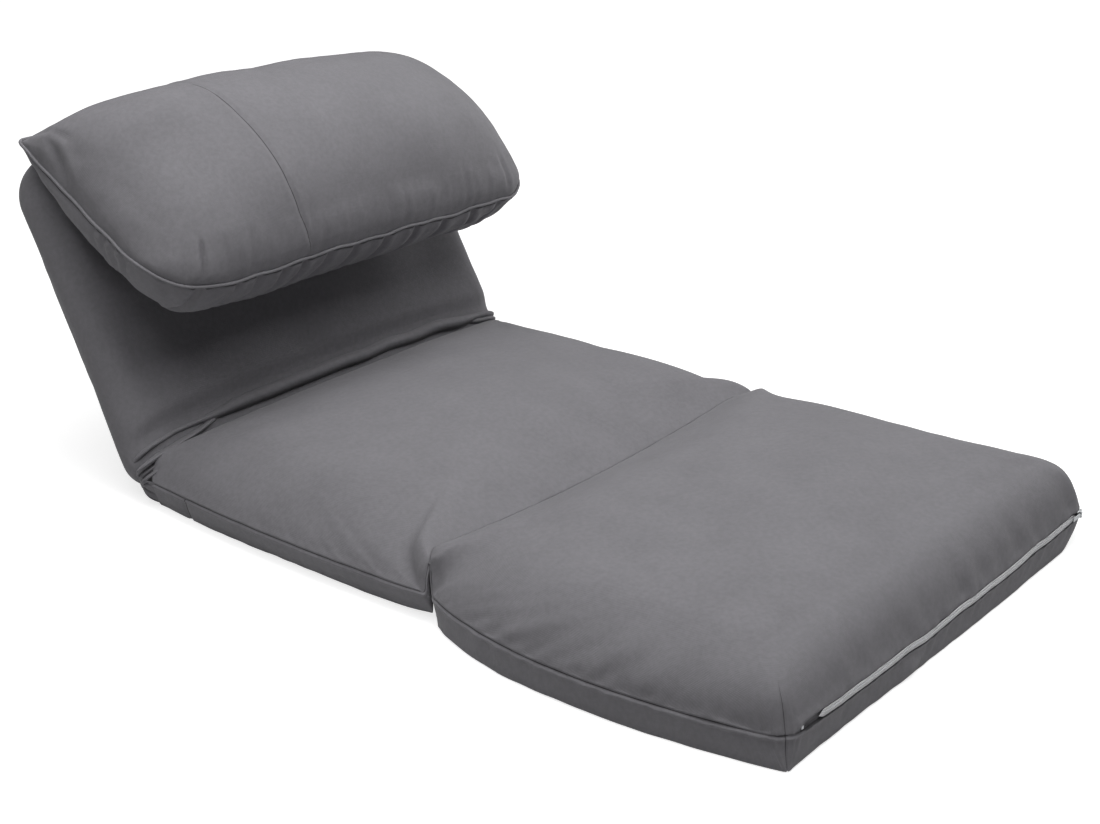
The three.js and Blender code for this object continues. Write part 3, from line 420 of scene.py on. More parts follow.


# Woven cloth: threads crossing at a spacing, soft mottling, and darker lines where the mesh marks seams and
# hollows: dark thread with painted shade in the seams' grooves, and painted shade in the hollows
def woven_cloth(name, colour, spacing, roughness, sheen, mottling, relief=0.00012):
    material, tree, shader = new_material(name, {"Roughness": roughness, "Sheen Weight": sheen,
                                                 "Sheen Roughness": 0.45, "Specular IOR Level": 0.3})
    place_node = add_node(tree, "TexCoord")
    first_sum = add_node(tree, "Math", operation="ADD")
    thread_sum = add_node(tree, "Math", operation="ADD")
    for axis, target, entry in (("X", first_sum, 0), ("Y", first_sum, 1), ("Z", thread_sum, 1)):
        wave = add_node(tree, "TexWave", {"Scale": 0.314 / spacing, "Distortion": 1.2, "Detail": 1.0,
                                          "Detail Scale": 3.0})
        wave.bands_direction = axis
        link(tree, (place_node, "Object", wave, "Vector"), (wave, "Fac", target, entry))
    grain = add_noise(tree, 900, 3)
    broad = add_noise(tree, 14, 4, 0.6)
    fine = add_noise(tree, 160, 3, 0.6)
    for noise in (grain, broad, fine):
        link(tree, (place_node, "Object", noise, "Vector"))
    grain_share = add_node(tree, "Math", {1: 0.8}, "MULTIPLY_ADD")
    bump = add_node(tree, "Bump", {"Strength": 0.5, "Distance": relief})
    soft_bump = add_node(tree, "Bump", {"Strength": 0.35, "Distance": 0.0006})
    link(tree, (first_sum, 0, thread_sum, 0), (grain, "Fac", grain_share, 0), (thread_sum, 0, grain_share, 2),
         (grain_share, 0, bump, "Height"), (fine, "Fac", soft_bump, "Height"),
         (bump, "Normal", soft_bump, "Normal"), (soft_bump, "Normal", shader, "Normal"))
    mottle = add_ramp(tree, 0.3, 0.7, colour, 1 - mottling, 1 + mottling)
    fleck = add_ramp(tree, 0.35, 0.65, (1, 1, 1), 1 - mottling, 1 + mottling)
    fleck_mix = add_node(tree, "MixRGB", {"Fac": 1})
    fleck_mix.blend_type = "MULTIPLY"
    both = add_node(tree, "Math", operation="MAXIMUM")
    shaded = add_node(tree, "Math", {1: 0.7}, "MULTIPLY")
    # Near-black painted shade, with the seams' dark thread, mixed in along the marked lines
    seam_and_shade_mix = add_node(tree, "MixRGB", {"Color2": (*(part * 0.04 for part in colour), 1)})
    link(tree, (broad, "Fac", mottle, "Fac"), (fine, "Fac", fleck, "Fac"),
         (mottle, "Color", fleck_mix, "Color1"), (fleck, "Color", fleck_mix, "Color2"),
         (seam_and_shade_strength(tree, "seam"), 0, both, 0),
         (seam_and_shade_strength(tree, "line"), 0, both, 1), (both, 0, shaded, 0), (shaded, 0, seam_and_shade_mix, "Fac"),
         (fleck_mix, "Color", seam_and_shade_mix, "Color1"), (seam_and_shade_mix, "Color", shader, "Base Color"))
    return material


# Metal or coated metal with a broken-up finish
def worn_metal(name, colour, roughness, metallic, scale, relief):
    material, tree, shader = new_material(name, {"Roughness": roughness, "Metallic": metallic})
    place_node = add_node(tree, "TexCoord")
    broad = add_noise(tree, scale, 5, 0.65)
    fine = add_noise(tree, scale * 12, 3)
    tone = add_ramp(tree, 0.3, 0.75, colour, 0.8, 1.15)
    gloss = add_ramp(tree, 0.3, 0.7, (1, 1, 1), roughness - 0.12, roughness + 0.15)
    bump = add_node(tree, "Bump", {"Strength": 0.4, "Distance": relief})
    link(tree, (place_node, "Object", broad, "Vector"), (place_node, "Object", fine, "Vector"),
         (broad, "Fac", tone, "Fac"), (tone, "Color", shader, "Base Color"), (broad, "Fac", gloss, "Fac"),
         (gloss, "Color", shader, "Roughness"), (fine, "Fac", bump, "Height"),
         (bump, "Normal", shader, "Normal"))
    return material


CLOTHS = {"upholstery": ((0.212, 0.207, 0.222), 0.0011, 0.78, 0.12, 0.05),
          "under_cloth": ((0.03, 0.03, 0.033), 0.0016, 0.9, 0.1, 0.2, 0.0002),
          "webbing": ((0.015, 0.015, 0.017), 0.0022, 0.85, 0.1, 0.2, 0.0004),
          "zip_tape": ((0.80, 0.80, 0.82), 0.0009, 0.5, 0.1, 0.05),
          "zip_teeth": ((0.84, 0.84, 0.86), 0.0012, 0.35, 0.0, 0.06)}
METALS = {"frame_tube": ((0.03, 0.03, 0.033), 0.42, 0.0, 60, 0.0001),
          "hinge_steel": ((0.42, 0.43, 0.44), 0.36, 0.95, 45, 0.00008),
          "zip_metal": ((0.3, 0.31, 0.32), 0.34, 0.95, 220, 0.00004)}
LOOKS = {slot: woven_cloth(slot, *values) for slot, values in CLOTHS.items()}
LOOKS.update({slot: worn_metal(slot, *values) for slot, values in METALS.items()})
LOOKS["foam"] = LOOKS["fibre_filling"] = LOOKS["under_cloth"]


def coat(obj, slot):
    obj.data.materials.clear()
    obj.data.materials.append(LOOKS[slot])


def finish_piece(obj, slot="upholstery"):
    coat(obj, slot)


# A padded cover: its look, the body that it rides on and the solids that it stands for
def finish_cover(obj, body, *nodes):
    finish_piece(obj)
    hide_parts(*nodes)
    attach(obj, body)


# Pads: seat and leg section

# Where a seam crosses the seat's side band
BAND_JOINT_Y = 0.160

# How far from the side seam a turn of one radian up the top panel counts
TURN_REACH = 0.065

# The right rim stands a little higher at the foot and beside the fold, and lower between
RIM_Y = [-0.70, -0.62, -0.57, -0.50, -0.46, -0.41, -0.37, -0.32,
         -0.26, -0.22, -0.16, -0.12, -0.05, 0.00, 0.06, 0.10]
RIM_RISE = [0.007, 0.006, 0.004, 0.0, -0.003, -0.005, -0.002, 0.002,
            0.001, 0.001, 0.008, 0.002, -0.003, -0.004, -0.001, 0.0]


# A place along a pad, from -1 at its near end to 1 at its far end
def lengthwise(pad, y):
    return (2 * y - pad.near - pad.far) / (pad.far - pad.near)


def top_height(pad, x, y):
    u = x / (pad.half_width + np.where(x < 0, *pad.bulge))
    v = lengthwise(pad, y)
    rim = np.interp(y, RIM_Y, RIM_RISE) * ease(0.14, 0.29, x)
    return pad.edge + (pad.crown - pad.edge) * (1 - u * u) * (1 - v * v) + rim


# The side seam climbs where it goes round a corner into the gap between two sections, and bows along its end
def seam_height(pad, edge):
    height = np.full(len(edge), pad.seam)
    across = abs(edge[:, 0])
    round_corner = ease(pad.half_width - 0.001, pad.half_width - 0.014, across)
    for end, (middle, sag) in ((pad.far, pad.far_seam), (pad.near, pad.near_seam)):
        goal = middle + sag * (across / pad.half_width) ** 2
        height += (goal - height) * round_corner * (abs(edge[:, 1] - end) < 0.04)
    return height


# Heights round a ring, evened out over a number of its points
def evened(values, width):
    wave_numbers = np.fft.rfftfreq(len(values))
    kept = np.exp(-2 * (math.pi * width * wave_numbers) ** 2)
    return np.fft.irfft(np.fft.rfft(values) * kept, len(values))


# The zip hangs a little lower in the middle of the foot end and waves along its length
def zip_line(x):
    x = np.asarray(x, float)
    sag = 0.0065 * np.clip(1 - (x / 0.317) ** 2, 0, 1)
    wave = 0.0009 * np.sin(x * 37 + 0.6) + 0.0007 * np.sin(x * 61 + 2.1) + 0.0004 * np.sin(x * 103)
    return (ZIP_LOW + ZIP_HIGH) / 2 - sag + wave * np.clip(1 - (x / 0.31) ** 4, 0, 1)


# How far a round-over has reached in at an angle: a quarter round, or partly an even slope
def reach_in(angle, slope):
    return (1 - slope) * (1 - math.cos(angle)) + slope * angle * 2 / math.pi


def pad_shell(pad):
    shell = Shell(pad.counts)
    edge = outline(pad, (0, 0, 0))
    seam = seam_height(pad, edge)
    foot = np.zeros(len(edge))
    # The leg section's seam follows the zip along the foot end
    if pad is LEG:
        half = pad.half_width - np.where(edge[:, 0] < 0, *pad.radii[:2])
        foot = (ease(pad.near + 0.012, pad.near + 0.001, edge[:, 1])
                * ease(half + 0.012, half - 0.012, abs(edge[:, 0])))
        seam = seam + foot * (zip_line(edge[:, 0]) - seam)
    shared = dict(seam_x=edge[:, 0], seam_y=edge[:, 1], foot=foot)

    def band_ring(height, tuck_more=0.0):
        draw = (1 - np.clip(height / seam, 0, 1).mean()) ** 1.5
        ring = outline(pad, [inset * draw + tuck_more for inset in pad.tuck], draw)
        shell.ring(np.c_[ring, height], across=height - seam, turn=0, **shared)

    # Two rings turn in under the pad
    band_ring(np.full(len(edge), 0.0006), 0.006)
    band_ring(np.full(len(edge), 0.0002), 0.001)
    nearest = NEAR_RINGS[-1]
    for k in range(BAND_STEPS):
        band_ring(0.0008 + (seam - nearest - 0.0008) * k / BAND_STEPS)
    for distance in reversed(NEAR_RINGS):
        band_ring(seam - distance)
    band_ring(seam)

    def top_ring(angle):
        middle = angle.mean()
        insets = [width * reach_in(middle, slope) for width, slope in (
            (pad.round_side, 0), (pad.round_near, pad.near_slope), (pad.round_far, pad.far_slope))]
        ring = outline(pad, insets, inner=math.sin(middle) ** 2)
        near_foot = ease(pad.near + 0.17, pad.near + 0.02, ring[:, 1])
        outer = ease(0.20, 0.30, abs(ring[:, 0]))
        ring[:, 0] += np.sign(ring[:, 0]) * pad.foot_full * near_foot * outer * math.sin(middle) ** 2
        top = top_height(pad, *ring.T)
        base = evened(seam, 6 * math.sin(middle) ** 1.5)
        height = base + (top - base) * np.sin(angle)
        shell.ring(np.c_[ring, height], across=angle * (top - seam), turn=angle, **shared)

    rise = top_height(pad, *edge.T) - seam
    for distance in NEAR_RINGS:
        top_ring(distance / rise)
    first = nearest / rise
    for k in range(1, TURN_STEPS + 1):
        top_ring(first + (math.pi / 2 - first) * k / TURN_STEPS)
    shell.lid(-1, lambda plan: top_height(pad, *plan.T), across=0.2, turn=math.pi / 2, seam_x=0, seam_y=0,
              foot=0)
    return shell


def pad_cover(name, pad, seed):
    obj = pad_shell(pad).build(name)
    across = value_of(obj, "across")
    foot = value_of(obj, "foot")
    low = positions(obj)[:, 2] < 0.004
    pinned = np.nonzero((abs(across) < 0.001) | low | ((abs(across) < 0.009) & (foot > 0.2)))[0]
    away = np.where(across < 0, -across, value_of(obj, "turn") * TURN_REACH)
    inflated(obj, pinned, 3.0, 0.0035, bell(away, 0.03), -0.015, seed)
    calm = obj.vertex_groups.new(name="calm")
    for number, share in enumerate(ease(0.010, 0.040, np.where(across < 0, 0, away))):
        calm.add([number], float(share), "REPLACE")
    softened(obj, 10, "calm")
    obj.vertex_groups.clear()
    subdivided(obj)
    return obj


# At the ends of the fold the cloth gives way: it settles at the right, and at the left the seat's corner
# pushes into the leg section's
def settle_fold(obj):
    x, y, z = positions(obj).T
    from_fold = y - FOLD_Y
    right = ease(0.275, 0.345, x) * ease(0.02, 0.07, z)
    left = ease(-0.318, -0.350, x)
    z = z - 0.0145 * right * bell(from_fold + 0.006, 0.027)
    low = ease(0.060, 0.005, z)
    y = y - (0.0150 + 0.0105 * low) * left * bell(from_fold, 0.045)
    x = x - 0.0010 * left * bell(from_fold + 0.010, 0.020) * low * (from_fold < 0)
    z = z + 0.0060 * left * bell(from_fold, 0.022) * low * (from_fold > 0)
    z = z - 0.0060 * left * bell(from_fold, 0.030) * ease(0.03, 0.07, z)
    place(obj, np.c_[x, y, z])


# The finish along a pad's seams. A crossing is the signed distance from the nearest seam that meets the side
# seam, as a function of the place on the side seam, and a reach is how far it runs up the top panel
def dress_pad(obj, seed, crossing, reach=0.0, wrinkle=0.0, gathers=1.0):
    across = value_of(obj, "across")
    away = abs(across)
    on_band = across < 0
    foot = value_of(obj, "foot")
    seam_plan = np.c_[value_of(obj, "seam_x"), value_of(obj, "seam_y")]
    from_fold = abs(seam_plan[:, 1] - FOLD_Y)
    inner = (abs(seam_plan[:, 0]) < 0.345) & (foot < 0.5)
    points = positions(obj)
    half_gap = 0.0009 + foot * 0.0031
    groove = ease(half_gap + 0.0014, half_gap, away)
    amount = -groove * (0.0017 + foot * 0.0022) * ~(inner & (from_fold < 0.03))
    amount += 0.0011 * bell(across + 0.0040 + 0.0022 * foot, 0.0016)
    ripple = Waves(seed, 0.019, 9, 2).at(seam_plan)
    broad_ripple = Waves(seed + 1, 0.055, 7, 2).at(seam_plan)
    spread = np.where(on_band, away, value_of(obj, "turn") * TURN_REACH)
    off_fold = gathers * ease(0.010, 0.060, from_fold)
    amount += 0.0004 * ripple * ease(0.001, 0.006, spread) * bell(spread - 0.006, 0.016) * off_fold
    amount += (0.0008 * broad_ripple * ease(0.002, 0.02, spread) * bell(spread - 0.02, 0.035) * off_fold
               * ~on_band)
    amount += 0.0009 * Waves(seed + 2, 0.16, 8).at(points) * ease(0.01, 0.05, away)
    line = crossing(*seam_plan.T)
    length = np.where(on_band, 1.0, ease(reach + 0.001, reach * 0.7, across) if reach else 0.0)
    length *= across < 0.15
    amount -= 0.0018 * bell(line, 0.0022) * length
    beside = abs(line)
    amount += (wrinkle * np.cos(beside * math.tau / 0.012) * bell(beside, 0.020) * ease(0, 0.02, beside)
               * bell(across, 0.032) * length)
    # The filling pushes out a hand's width of the band under the zip
    amount += 0.0050 * foot * bell(points[:, 0] + 0.112, 0.020) * bell(points[:, 2] - 0.013, 0.009)
    push(obj, amount)
    points = positions(obj)
    points[:, 2] = np.maximum(points[:, 2], 0.0002)
    place(obj, points)
    settle_fold(obj)
    # The seams, and the seams that cross them, are painted darker: their dark thread, and painted shade in
    # their grooves
    set_value(obj, "seam", across + 0.0050 * foot)
    set_value(obj, "seam_share", (away < 0.02) & ~inner)
    # The short pleat beside it is only painted: a thin line of painted shade on the band
    pleat = points[:, 0] + 0.086 - 0.7 * (points[:, 2] - 0.008)
    on_pleat_shade = (foot > 0.5) & (points[:, 2] < 0.0145) & (abs(pleat) < 0.006)
    set_value(obj, "line", np.where(on_pleat_shade, pleat, np.clip(line, -0.02, 0.02)))
    set_value(obj, "line_share", np.where(on_pleat_shade, ease(0.0145, 0.011, points[:, 2]), length))


# A fine cord of piping along a closed line
def piping(name, line, radius, body, sides=8):
    along = np.roll(line, -1, 0) - np.roll(line, 1, 0)
    along /= np.linalg.norm(along, axis=1)[:, None]
    side = np.cross(along, (0.0, 0.0, 1.0))
    side /= np.maximum(np.linalg.norm(side, axis=1), 1e-6)[:, None]
    over = np.cross(side, along)
    angles = (np.arange(sides) * math.tau / sides)[None, :, None]
    points = (line[:, None] + side[:, None] * (np.cos(angles) * radius)
              + over[:, None] * (np.sin(angles) * radius))
    index = np.arange(len(line) * sides).reshape(-1, sides)
    index = np.pad(index, ((0, 1), (0, 1)), "wrap")
    obj = make_mesh(name, points.reshape(-1, 3), grid_quads(index)[:, [0, 3, 2, 1]])
    finish_piece(obj)
    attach(obj, body)
    return obj


# The signed distance along the side seam from the seam down each corner of the foot
def corner_line(x, y):
    cut = np.where(x < 0, *LEG.radii[:2]) * (1 - math.sqrt(0.5))
    return (y - LEG.near - cut) - (LEG.half_width - cut - abs(x))


seat_cover = pad_cover("seat_cover", SEAT, 11)
dress_pad(seat_cover, 21, lambda x, y: y - BAND_JOINT_Y, gathers=0.45)
leg_cover = pad_cover("leg_cover", LEG, 12)
dress_pad(leg_cover, 31, corner_line, 0.058, 0.0012)
finish_cover(seat_cover, "seat", "seat_foam", "seat_under_pad", "seat_top_panel", "seat_side_band")
finish_cover(leg_cover, "leg_section", "leg_foam", "leg_top_panel", "leg_side_band")


# Backrest

GROOVE_DEPTH = 0.0085


# How much wider the backrest is at its lower left
def lower_left(x, up):
    return 0.009 * ease(0.22, 0.02, up) * ease(-0.15, -0.34, x)


def back_outline(inset):
    ring = outline(BACK, (inset, inset, inset))
    ring[:, 0] += BACK.shift - lower_left(*ring.T)
    return ring


# Heights up the backrest of the upper fold in the crease, across the backrest
def crease_top(x):
    return np.interp(
        x, [-0.375, -0.36, -0.33, -0.29, -0.25, -0.20, -0.10, 0.10, 0.20, 0.28, 0.33, 0.37],
        [0.006, 0.014, 0.0235, 0.0295, 0.0315, 0.0335, 0.0355, 0.0355, 0.034, 0.029, 0.024, 0.020])


def back_front_height(x, y):
    u = x / BACK.half_width
    v = lengthwise(BACK, y)
    crown = BACK.crown * (1 - u * u) * (1 - v * v)
    # The cloth is drawn in above the roll in the crease
    groove = GROOVE_DEPTH * ease(0.038, 0.013, y - crease_top(x))
    return BACK.front + crown - groove


def back_shell():
    shell = Shell(BACK.counts)
    radius = BACK.roundover
    middle = BACK.rear + radius
    for k in range(1, 2 * TURN_STEPS + 1):
        angle = math.pi / 2 * (k / TURN_STEPS - 1)
        ring = back_outline(radius * (1 - math.cos(angle)))
        if angle < 0:
            height = np.full(len(ring), middle + radius * math.sin(angle))
        else:
            height = middle + (back_front_height(*ring.T) - middle) * math.sin(angle)
        shell.ring(np.c_[ring, height], across=0.1)
    shell.lid(-1, lambda plan: back_front_height(*plan.T), across=0.2)
    return shell


shell = back_shell()
back_cover = shell.build("backrest_cover")
inflated(back_cover, shell.rings[0], 2.5, 0.003, np.zeros(len(shell.points)), 0.0, 13)
subdivided(back_cover)
points = positions(back_cover)
push(back_cover, 0.0011 * Waves(41, 0.15, 8).at(points) * ease(0.35, 0.3, abs(points[:, 0])))
place(back_cover, moved(positions(back_cover), back_frame))
finish_cover(back_cover, "backrest", "back_foam", "back_rear_pad", "back_front_cover")


# Pillow

PILLOW_COUNTS = (96, 26, 16)
PILLOW_RINGS = [0.0015, 0.003, 0.005, 0.008, 0.012, 0.017, 0.023, 0.030]
PILLOW_BACK_RINGS = [0.0002, 0.0006, 0.0014, 0.003, 0.0055, 0.009, 0.014, 0.021, 0.030]


# Where the front panel's seam runs, across the pillow, at a place along it
def front_seam_x(y):
    return np.interp(y, [-0.322, -0.313, -0.297, -0.267, -0.224, -0.180, -0.134, -0.086, -0.04, 0.0],
                     [-0.116, -0.125, -0.134, -0.140, -0.144, -0.147, -0.153, -0.159, -0.161, -0.162])


def pillow_outline(inset):
    corners = (*PILLOW.corners, PILLOW.ear, PILLOW.ear)
    radii = [max(radius - inset, radius * LEAST_RADIUS) for radius in corners]
    ring = rounded_ring(PILLOW.half_width - inset, -PILLOW.length + inset, -inset, radii, PILLOW_COUNTS)
    # The upper left corner reaches up a little
    ring[:, 1] += 0.0045 * ease(-0.17, -0.33, ring[:, 0]) * ease(-0.10, 0.0, ring[:, 1])
    return ring


# How full one side of the pillow is, from its seams to its middle
def pillow_fullness(x, y, edge_across, edge_along, power):
    reach = PILLOW.half_width
    corner = np.where(x < 0, *PILLOW.corners)
    u = np.clip(abs(x) / reach, 0, 1)
    into = np.clip((abs(x) - (reach - corner)) / corner, 0, 1)
    low = -PILLOW.length + corner * (1 - np.sqrt(1 - into ** 2))
    v = np.clip(abs(2 * (y - low) / np.minimum(low, -0.02) + 1), 0, 1)
    return (1 - u ** edge_across) ** power * (1 - v ** edge_along) ** power


# The seam stands higher at the upper left corner and lower at the lower right one
def seam_lift(x, y):
    return (0.009 * ease(-0.20, -0.34, x) * bell(y, 0.08)
            - 0.009 * ease(-0.05, 0.30, x) * ease(-0.16, -0.32, y))


def pillow_depth(x, y, side):
    if side > 0:
        fullness = pillow_fullness(x, y, 4, 2.3, 0.6)
        edge = np.sqrt(1 - np.minimum(abs(x) / PILLOW.half_width, 1) ** 6)
        left = 0.019 * ease(0.26, -0.16, x) * bell(y + 0.075, 0.085) * (0.45 + 0.55 * edge)
        left += 0.007 * bell(x + 0.285, 0.075) * bell(y + 0.060, 0.070)
        return PILLOW.front * fullness + left * ease(0, -0.03, y) * ease(0, 0.2, fullness)
    free = PILLOW.belly * pillow_fullness(x, y, 6, 4.5, 0.46)
    against = np.maximum(-y * math.tan(-PILLOW_TURN), 0)
    soft = free * against / np.sqrt(free ** 2 + against ** 2 + 1e-6)
    return -(soft + np.minimum(free, against)) / 2


def pillow_shell():
    shell = Shell(PILLOW_COUNTS)
    # The seam isn't quite flat: it waves a little along its length
    seam = pillow_outline(0)
    lift = 0.0012 * Waves(61, 0.085, 6, 2).at(seam) * ease(0, 0.03, -seam[:, 1])
    for side, insets in ((-1, PILLOW_BACK_RINGS[::-1]), (1, [0.0, *PILLOW_RINGS])):
        for inset in insets:
            ring = pillow_outline(inset)
            height = pillow_depth(*ring.T, side) if inset else np.zeros(len(ring))
            fade = (1 - inset / PILLOW_RINGS[-1]) ** 2
            height += lift * fade + seam_lift(*ring.T)
            low_edge = np.array([inset - PILLOW.length])
            lowest = pillow_depth(np.zeros(1), low_edge, -1)[0] if side < 0 else 0.0
            shell.ring(np.c_[ring, height], across=side * math.hypot(inset, lowest * 0.8))

    def surface(plan, side):
        return pillow_depth(*plan.T, side) + seam_lift(*plan.T)

    shell.lid(-1, lambda plan: surface(plan, 1), across=0.2)
    shell.lid(0, lambda plan: surface(plan, -1), flipped=True, across=-0.2)
    return shell


# A fold pressed into the cloth along a line in the pillow's plan, made wider and deeper by two shares
def tuck(points, row, wide, deep):
    start, end = row[:2], row[2:4]
    width, depth = row[4] * wide, row[5] * deep
    run = end - start
    along = np.clip(((points[:, :2] - start) @ run) / (run @ run), 0, 1)
    distance = np.linalg.norm(points[:, :2] - start - along[:, None] * run, axis=1)
    fade = 1 - ease(0.35, 1.0, along)
    beside = 0.35 * bell(distance - 2.1 * width, 1.3 * width)
    return depth * fade * (beside - bell(distance, width))


# Folds from the seam into the front panel and into the back panel, in tenths of a millimetre: the start, the
# end, the width and the depth
FRONT_TUCKS = [(-2975, -3180, -2880, -2720, 26, 100), (-3520, -1050, -3380, -200, 28, 85),
               (-2620, -3180, -2620, -2850, 45, 22), (-2220, -3220, -2160, -2800, 50, 22),
               (-3180, -3020, -3060, -2700, 45, 20), (-1180, -3220, -1120, -2750, 50, 22),
               (600, -3220, 620, -2850, 60, 16), (1900, -3220, 1850, -2800, 55, 18),
               (2850, -3150, 2700, -2700, 45, 26), (3250, -2900, 3000, -2550, 45, 26),
               (-3320, -120, -3350, -850, 35, 30), (3320, -120, 3350, -850, 35, 30)]
BACK_TUCKS = [(-2975, -3180, -3040, -2400, 32, 80), (-2400, -3220, -2480, -2400, 40, 50),
              (-2050, -3220, -2150, -2400, 45, 40), (-1600, -3220, -1720, -2400, 50, 50),
              (-1250, -3220, -1350, -2400, 45, 50), (-800, -3220, -950, -2400, 55, 45),
              (-300, -3220, -420, -2400, 50, 40), (300, -3220, 200, -2400, 55, 45),
              (900, -3220, 800, -2400, 50, 40), (1500, -3220, 1420, -2400, 55, 45),
              (2100, -3220, 2020, -2400, 50, 45), (2650, -3200, 2520, -2400, 45, 50),
              (3100, -3050, 2920, -2400, 45, 50), (-3500, -1650, -3250, -1750, 30, 28),
              (-3500, -1850, -3220, -2000, 30, 28), (-3500, -2030, -3220, -2200, 30, 28),
              (-3490, -2220, -3220, -2400, 30, 26)]

shell = pillow_shell()
pillow = shell.build("pillow_cover")
pillow_seam_ring = shell.rings[len(PILLOW_BACK_RINGS)]
across = value_of(pillow, "across")
pillow_slack = bell(across, 0.05) * np.where(across < 0, 0.6, 1.0)
inflated(pillow, pillow_seam_ring, 5.0, 0.012, pillow_slack, -0.08, 14)
subdivided(pillow)
points = positions(pillow)
pillow_seam = moved(points[pillow_seam_ring], pillow_frame)
across = value_of(pillow, "across")
amount = -0.0022 * bell(across, 0.0025)
front_line = points[:, 0] - front_seam_x(points[:, 1])
amount -= 0.0016 * bell(front_line, 0.0034) * (across > 0.004)
amount += 0.0006 * bell(abs(front_line) - 0.007, 0.0035) * (across > 0.004)
for rows, side, wide, deep in ((FRONT_TUCKS, 1, 1.0, 0.7), (BACK_TUCKS, -1, 1.15, 0.9)):
    for row in np.array(rows) * 1e-4:
        amount += tuck(points, row, wide, deep) * ease(0, 0.004, side * across)
amount += 0.0003 * Waves(62, 0.021, 8, 2).at(points[:, :2]) * bell(abs(across) - 0.012, 0.013)
amount += 0.0012 * Waves(63, 0.16, 7).at(points) * ease(0.008, 0.030, abs(across))
push(pillow, amount)
# The seams are painted darker: their dark thread, and painted shade in the grooves along the piping and the
# front panel's seam
set_value(pillow, "seam", across + 0.0030)
set_value(pillow, "seam_share", (abs(across) < 0.012) * 1.0)
set_value(pillow, "line", np.clip(np.where(across > 0, front_line, 0.02), -0.02, 0.02))
set_value(pillow, "line_share", ease(0.0, 0.004, across))
place(pillow, moved(positions(pillow), pillow_frame))

# The cloth rests on the backrest and doesn't go through it
local = moved(positions(pillow), back_frame.inverted())
surface = back_front_height(local[:, 0], local[:, 1]) + 0.0015
local[:, 2] = np.where(local[:, 1] < BACK.far, np.maximum(local[:, 2], surface), local[:, 2])
place(pillow, moved(local, back_frame))
finish_cover(pillow, "pillow", "pillow_filling", "pillow_front_panel_left", "pillow_front_panel_right",
             "pillow_back_panel")
pillow_piping = piping("pillow_piping", pillow_seam, 0.0021, "pillow")


# The folded cloth in the crease

def catmull(controls, steps):
    padded = np.concatenate([2 * controls[:1] - controls[1:2], controls, 2 * controls[-1:] - controls[-2:-1]])
    pieces = []
    for k in range(len(controls) - 1):
        a, b, c, d = padded[k:k + 4]
        t = (np.arange(steps) / steps)[:, None]
        pieces.append(0.5 * (2 * b + (c - a) * t + (2 * a - 5 * b + 4 * c - d) * t ** 2
                             + (3 * b - a - 3 * c + d) * t ** 3))
    pieces.append(controls[-1:])
    return np.concatenate(pieces)


# Points round the backrest at a height, standing out from its cover by an amount
def round_back(turns, up, out):
    up = np.broadcast_to(up, turns.shape)
    radius = BACK.roundover
    straight = BACK.half_width - radius
    run = abs(turns) * (straight + radius * math.pi / 2)
    angle = np.clip((run - straight) / radius, 0, math.pi / 2)
    reach = np.minimum(run, straight) + (radius + out) * np.sin(angle)
    height = BACK.rear + radius + (radius + out) * np.cos(angle)
    plan_x = np.sign(turns) * reach
    return moved(np.c_[plan_x + BACK.shift - lower_left(plan_x, up), up, height], back_frame)


# Half an ellipse of a height and half a width, about a centre
def ridge(level, centre, width, height):
    return height * np.sqrt(np.clip(1 - ((level - centre) / np.maximum(width, 1e-4)) ** 2, 0, 1))


# The cloth lies in one thick roll along the crease, which splits into thin folds towards its ends
def crease_folds():
    turns = np.linspace(-1, 1, 361)
    x = turns * (BACK.half_width + 0.018)
    sway = Waves(51, 0.11, 5, 1).at(x[:, None])
    left = ease(0.17, 0.26, -x)
    far_left = ease(0.22, 0.30, -x)
    right = ease(0.24, 0.31, x)
    top = crease_top(x)
    # How far each fold lies below the top one, its half width and its height
    ends = ease(1.0, 0.93, abs(turns))
    folds = [(0.0008 * sway, 0.0105 - 0.0062 * left - 0.0050 * right,
              (0.0185 - 0.009 * left - 0.008 * right) * (0.35 + 0.65 * ends)),
             (0.0085 * left + 0.007 * far_left + 0.0075 * right, 0.001 + 0.0036 * left + 0.0036 * right,
              (0.0125 * left + 0.0110 * far_left + 0.0100 * right) * ends),
             (0.010 + 0.0135 * far_left, 0.001 + 0.0042 * far_left, 0.0175 * far_left * ends),
             (0.016 + 0.0145 * far_left, 0.001 + 0.0040 * far_left, 0.0200 * far_left * ends)]
    gap = 0.012 + 0.026 * far_left
    rows = []
    heights = []
    for level in np.linspace(0.024, -0.062, 110):
        out = -GROOVE_DEPTH - 0.0006 - 0.020 * ease(-gap + 0.002, -gap - 0.010, level)
        height = np.maximum.reduce([ridge(level, -drop, width, height) for drop, width, height in folds])
        rows.append(round_back(turns, np.maximum(top + level, -0.022), out + height))
        heights.append(height)
    lowest = rows[-1]
    seat_x = np.clip(lowest[:, 0], -0.336, 0.336)
    for share, height in ((0.5, 0.012), (1.0, 0.014)):
        goal = np.c_[seat_x, np.full(len(x), SEAT.far - 0.012), np.full(len(x), height)]
        rows.append(lowest * (1 - share) + goal * share)
        heights.append(np.zeros(len(x)))
    heights = np.array(heights)
    above, below = np.maximum.accumulate(heights), np.maximum.accumulate(heights[::-1])[::-1]
    # Painted shade: the hollows between the folds are darkened
    hollows = ease(0.0015, 0.0060, np.minimum(above, below) - heights)
    return np.array(rows), hollows


# A grid of points as a mesh whose normals face a direction
def grid_mesh(name, grid, facing):
    rows, columns = grid.shape[:2]
    index = np.arange(rows * columns).reshape(rows, columns)
    obj = make_mesh(name, grid.reshape(-1, 3), grid_quads(index))
    if normals(obj)[rows // 2 * columns + columns // 2] @ np.array(facing) < 0:
        obj.data.flip_normals()
    return obj


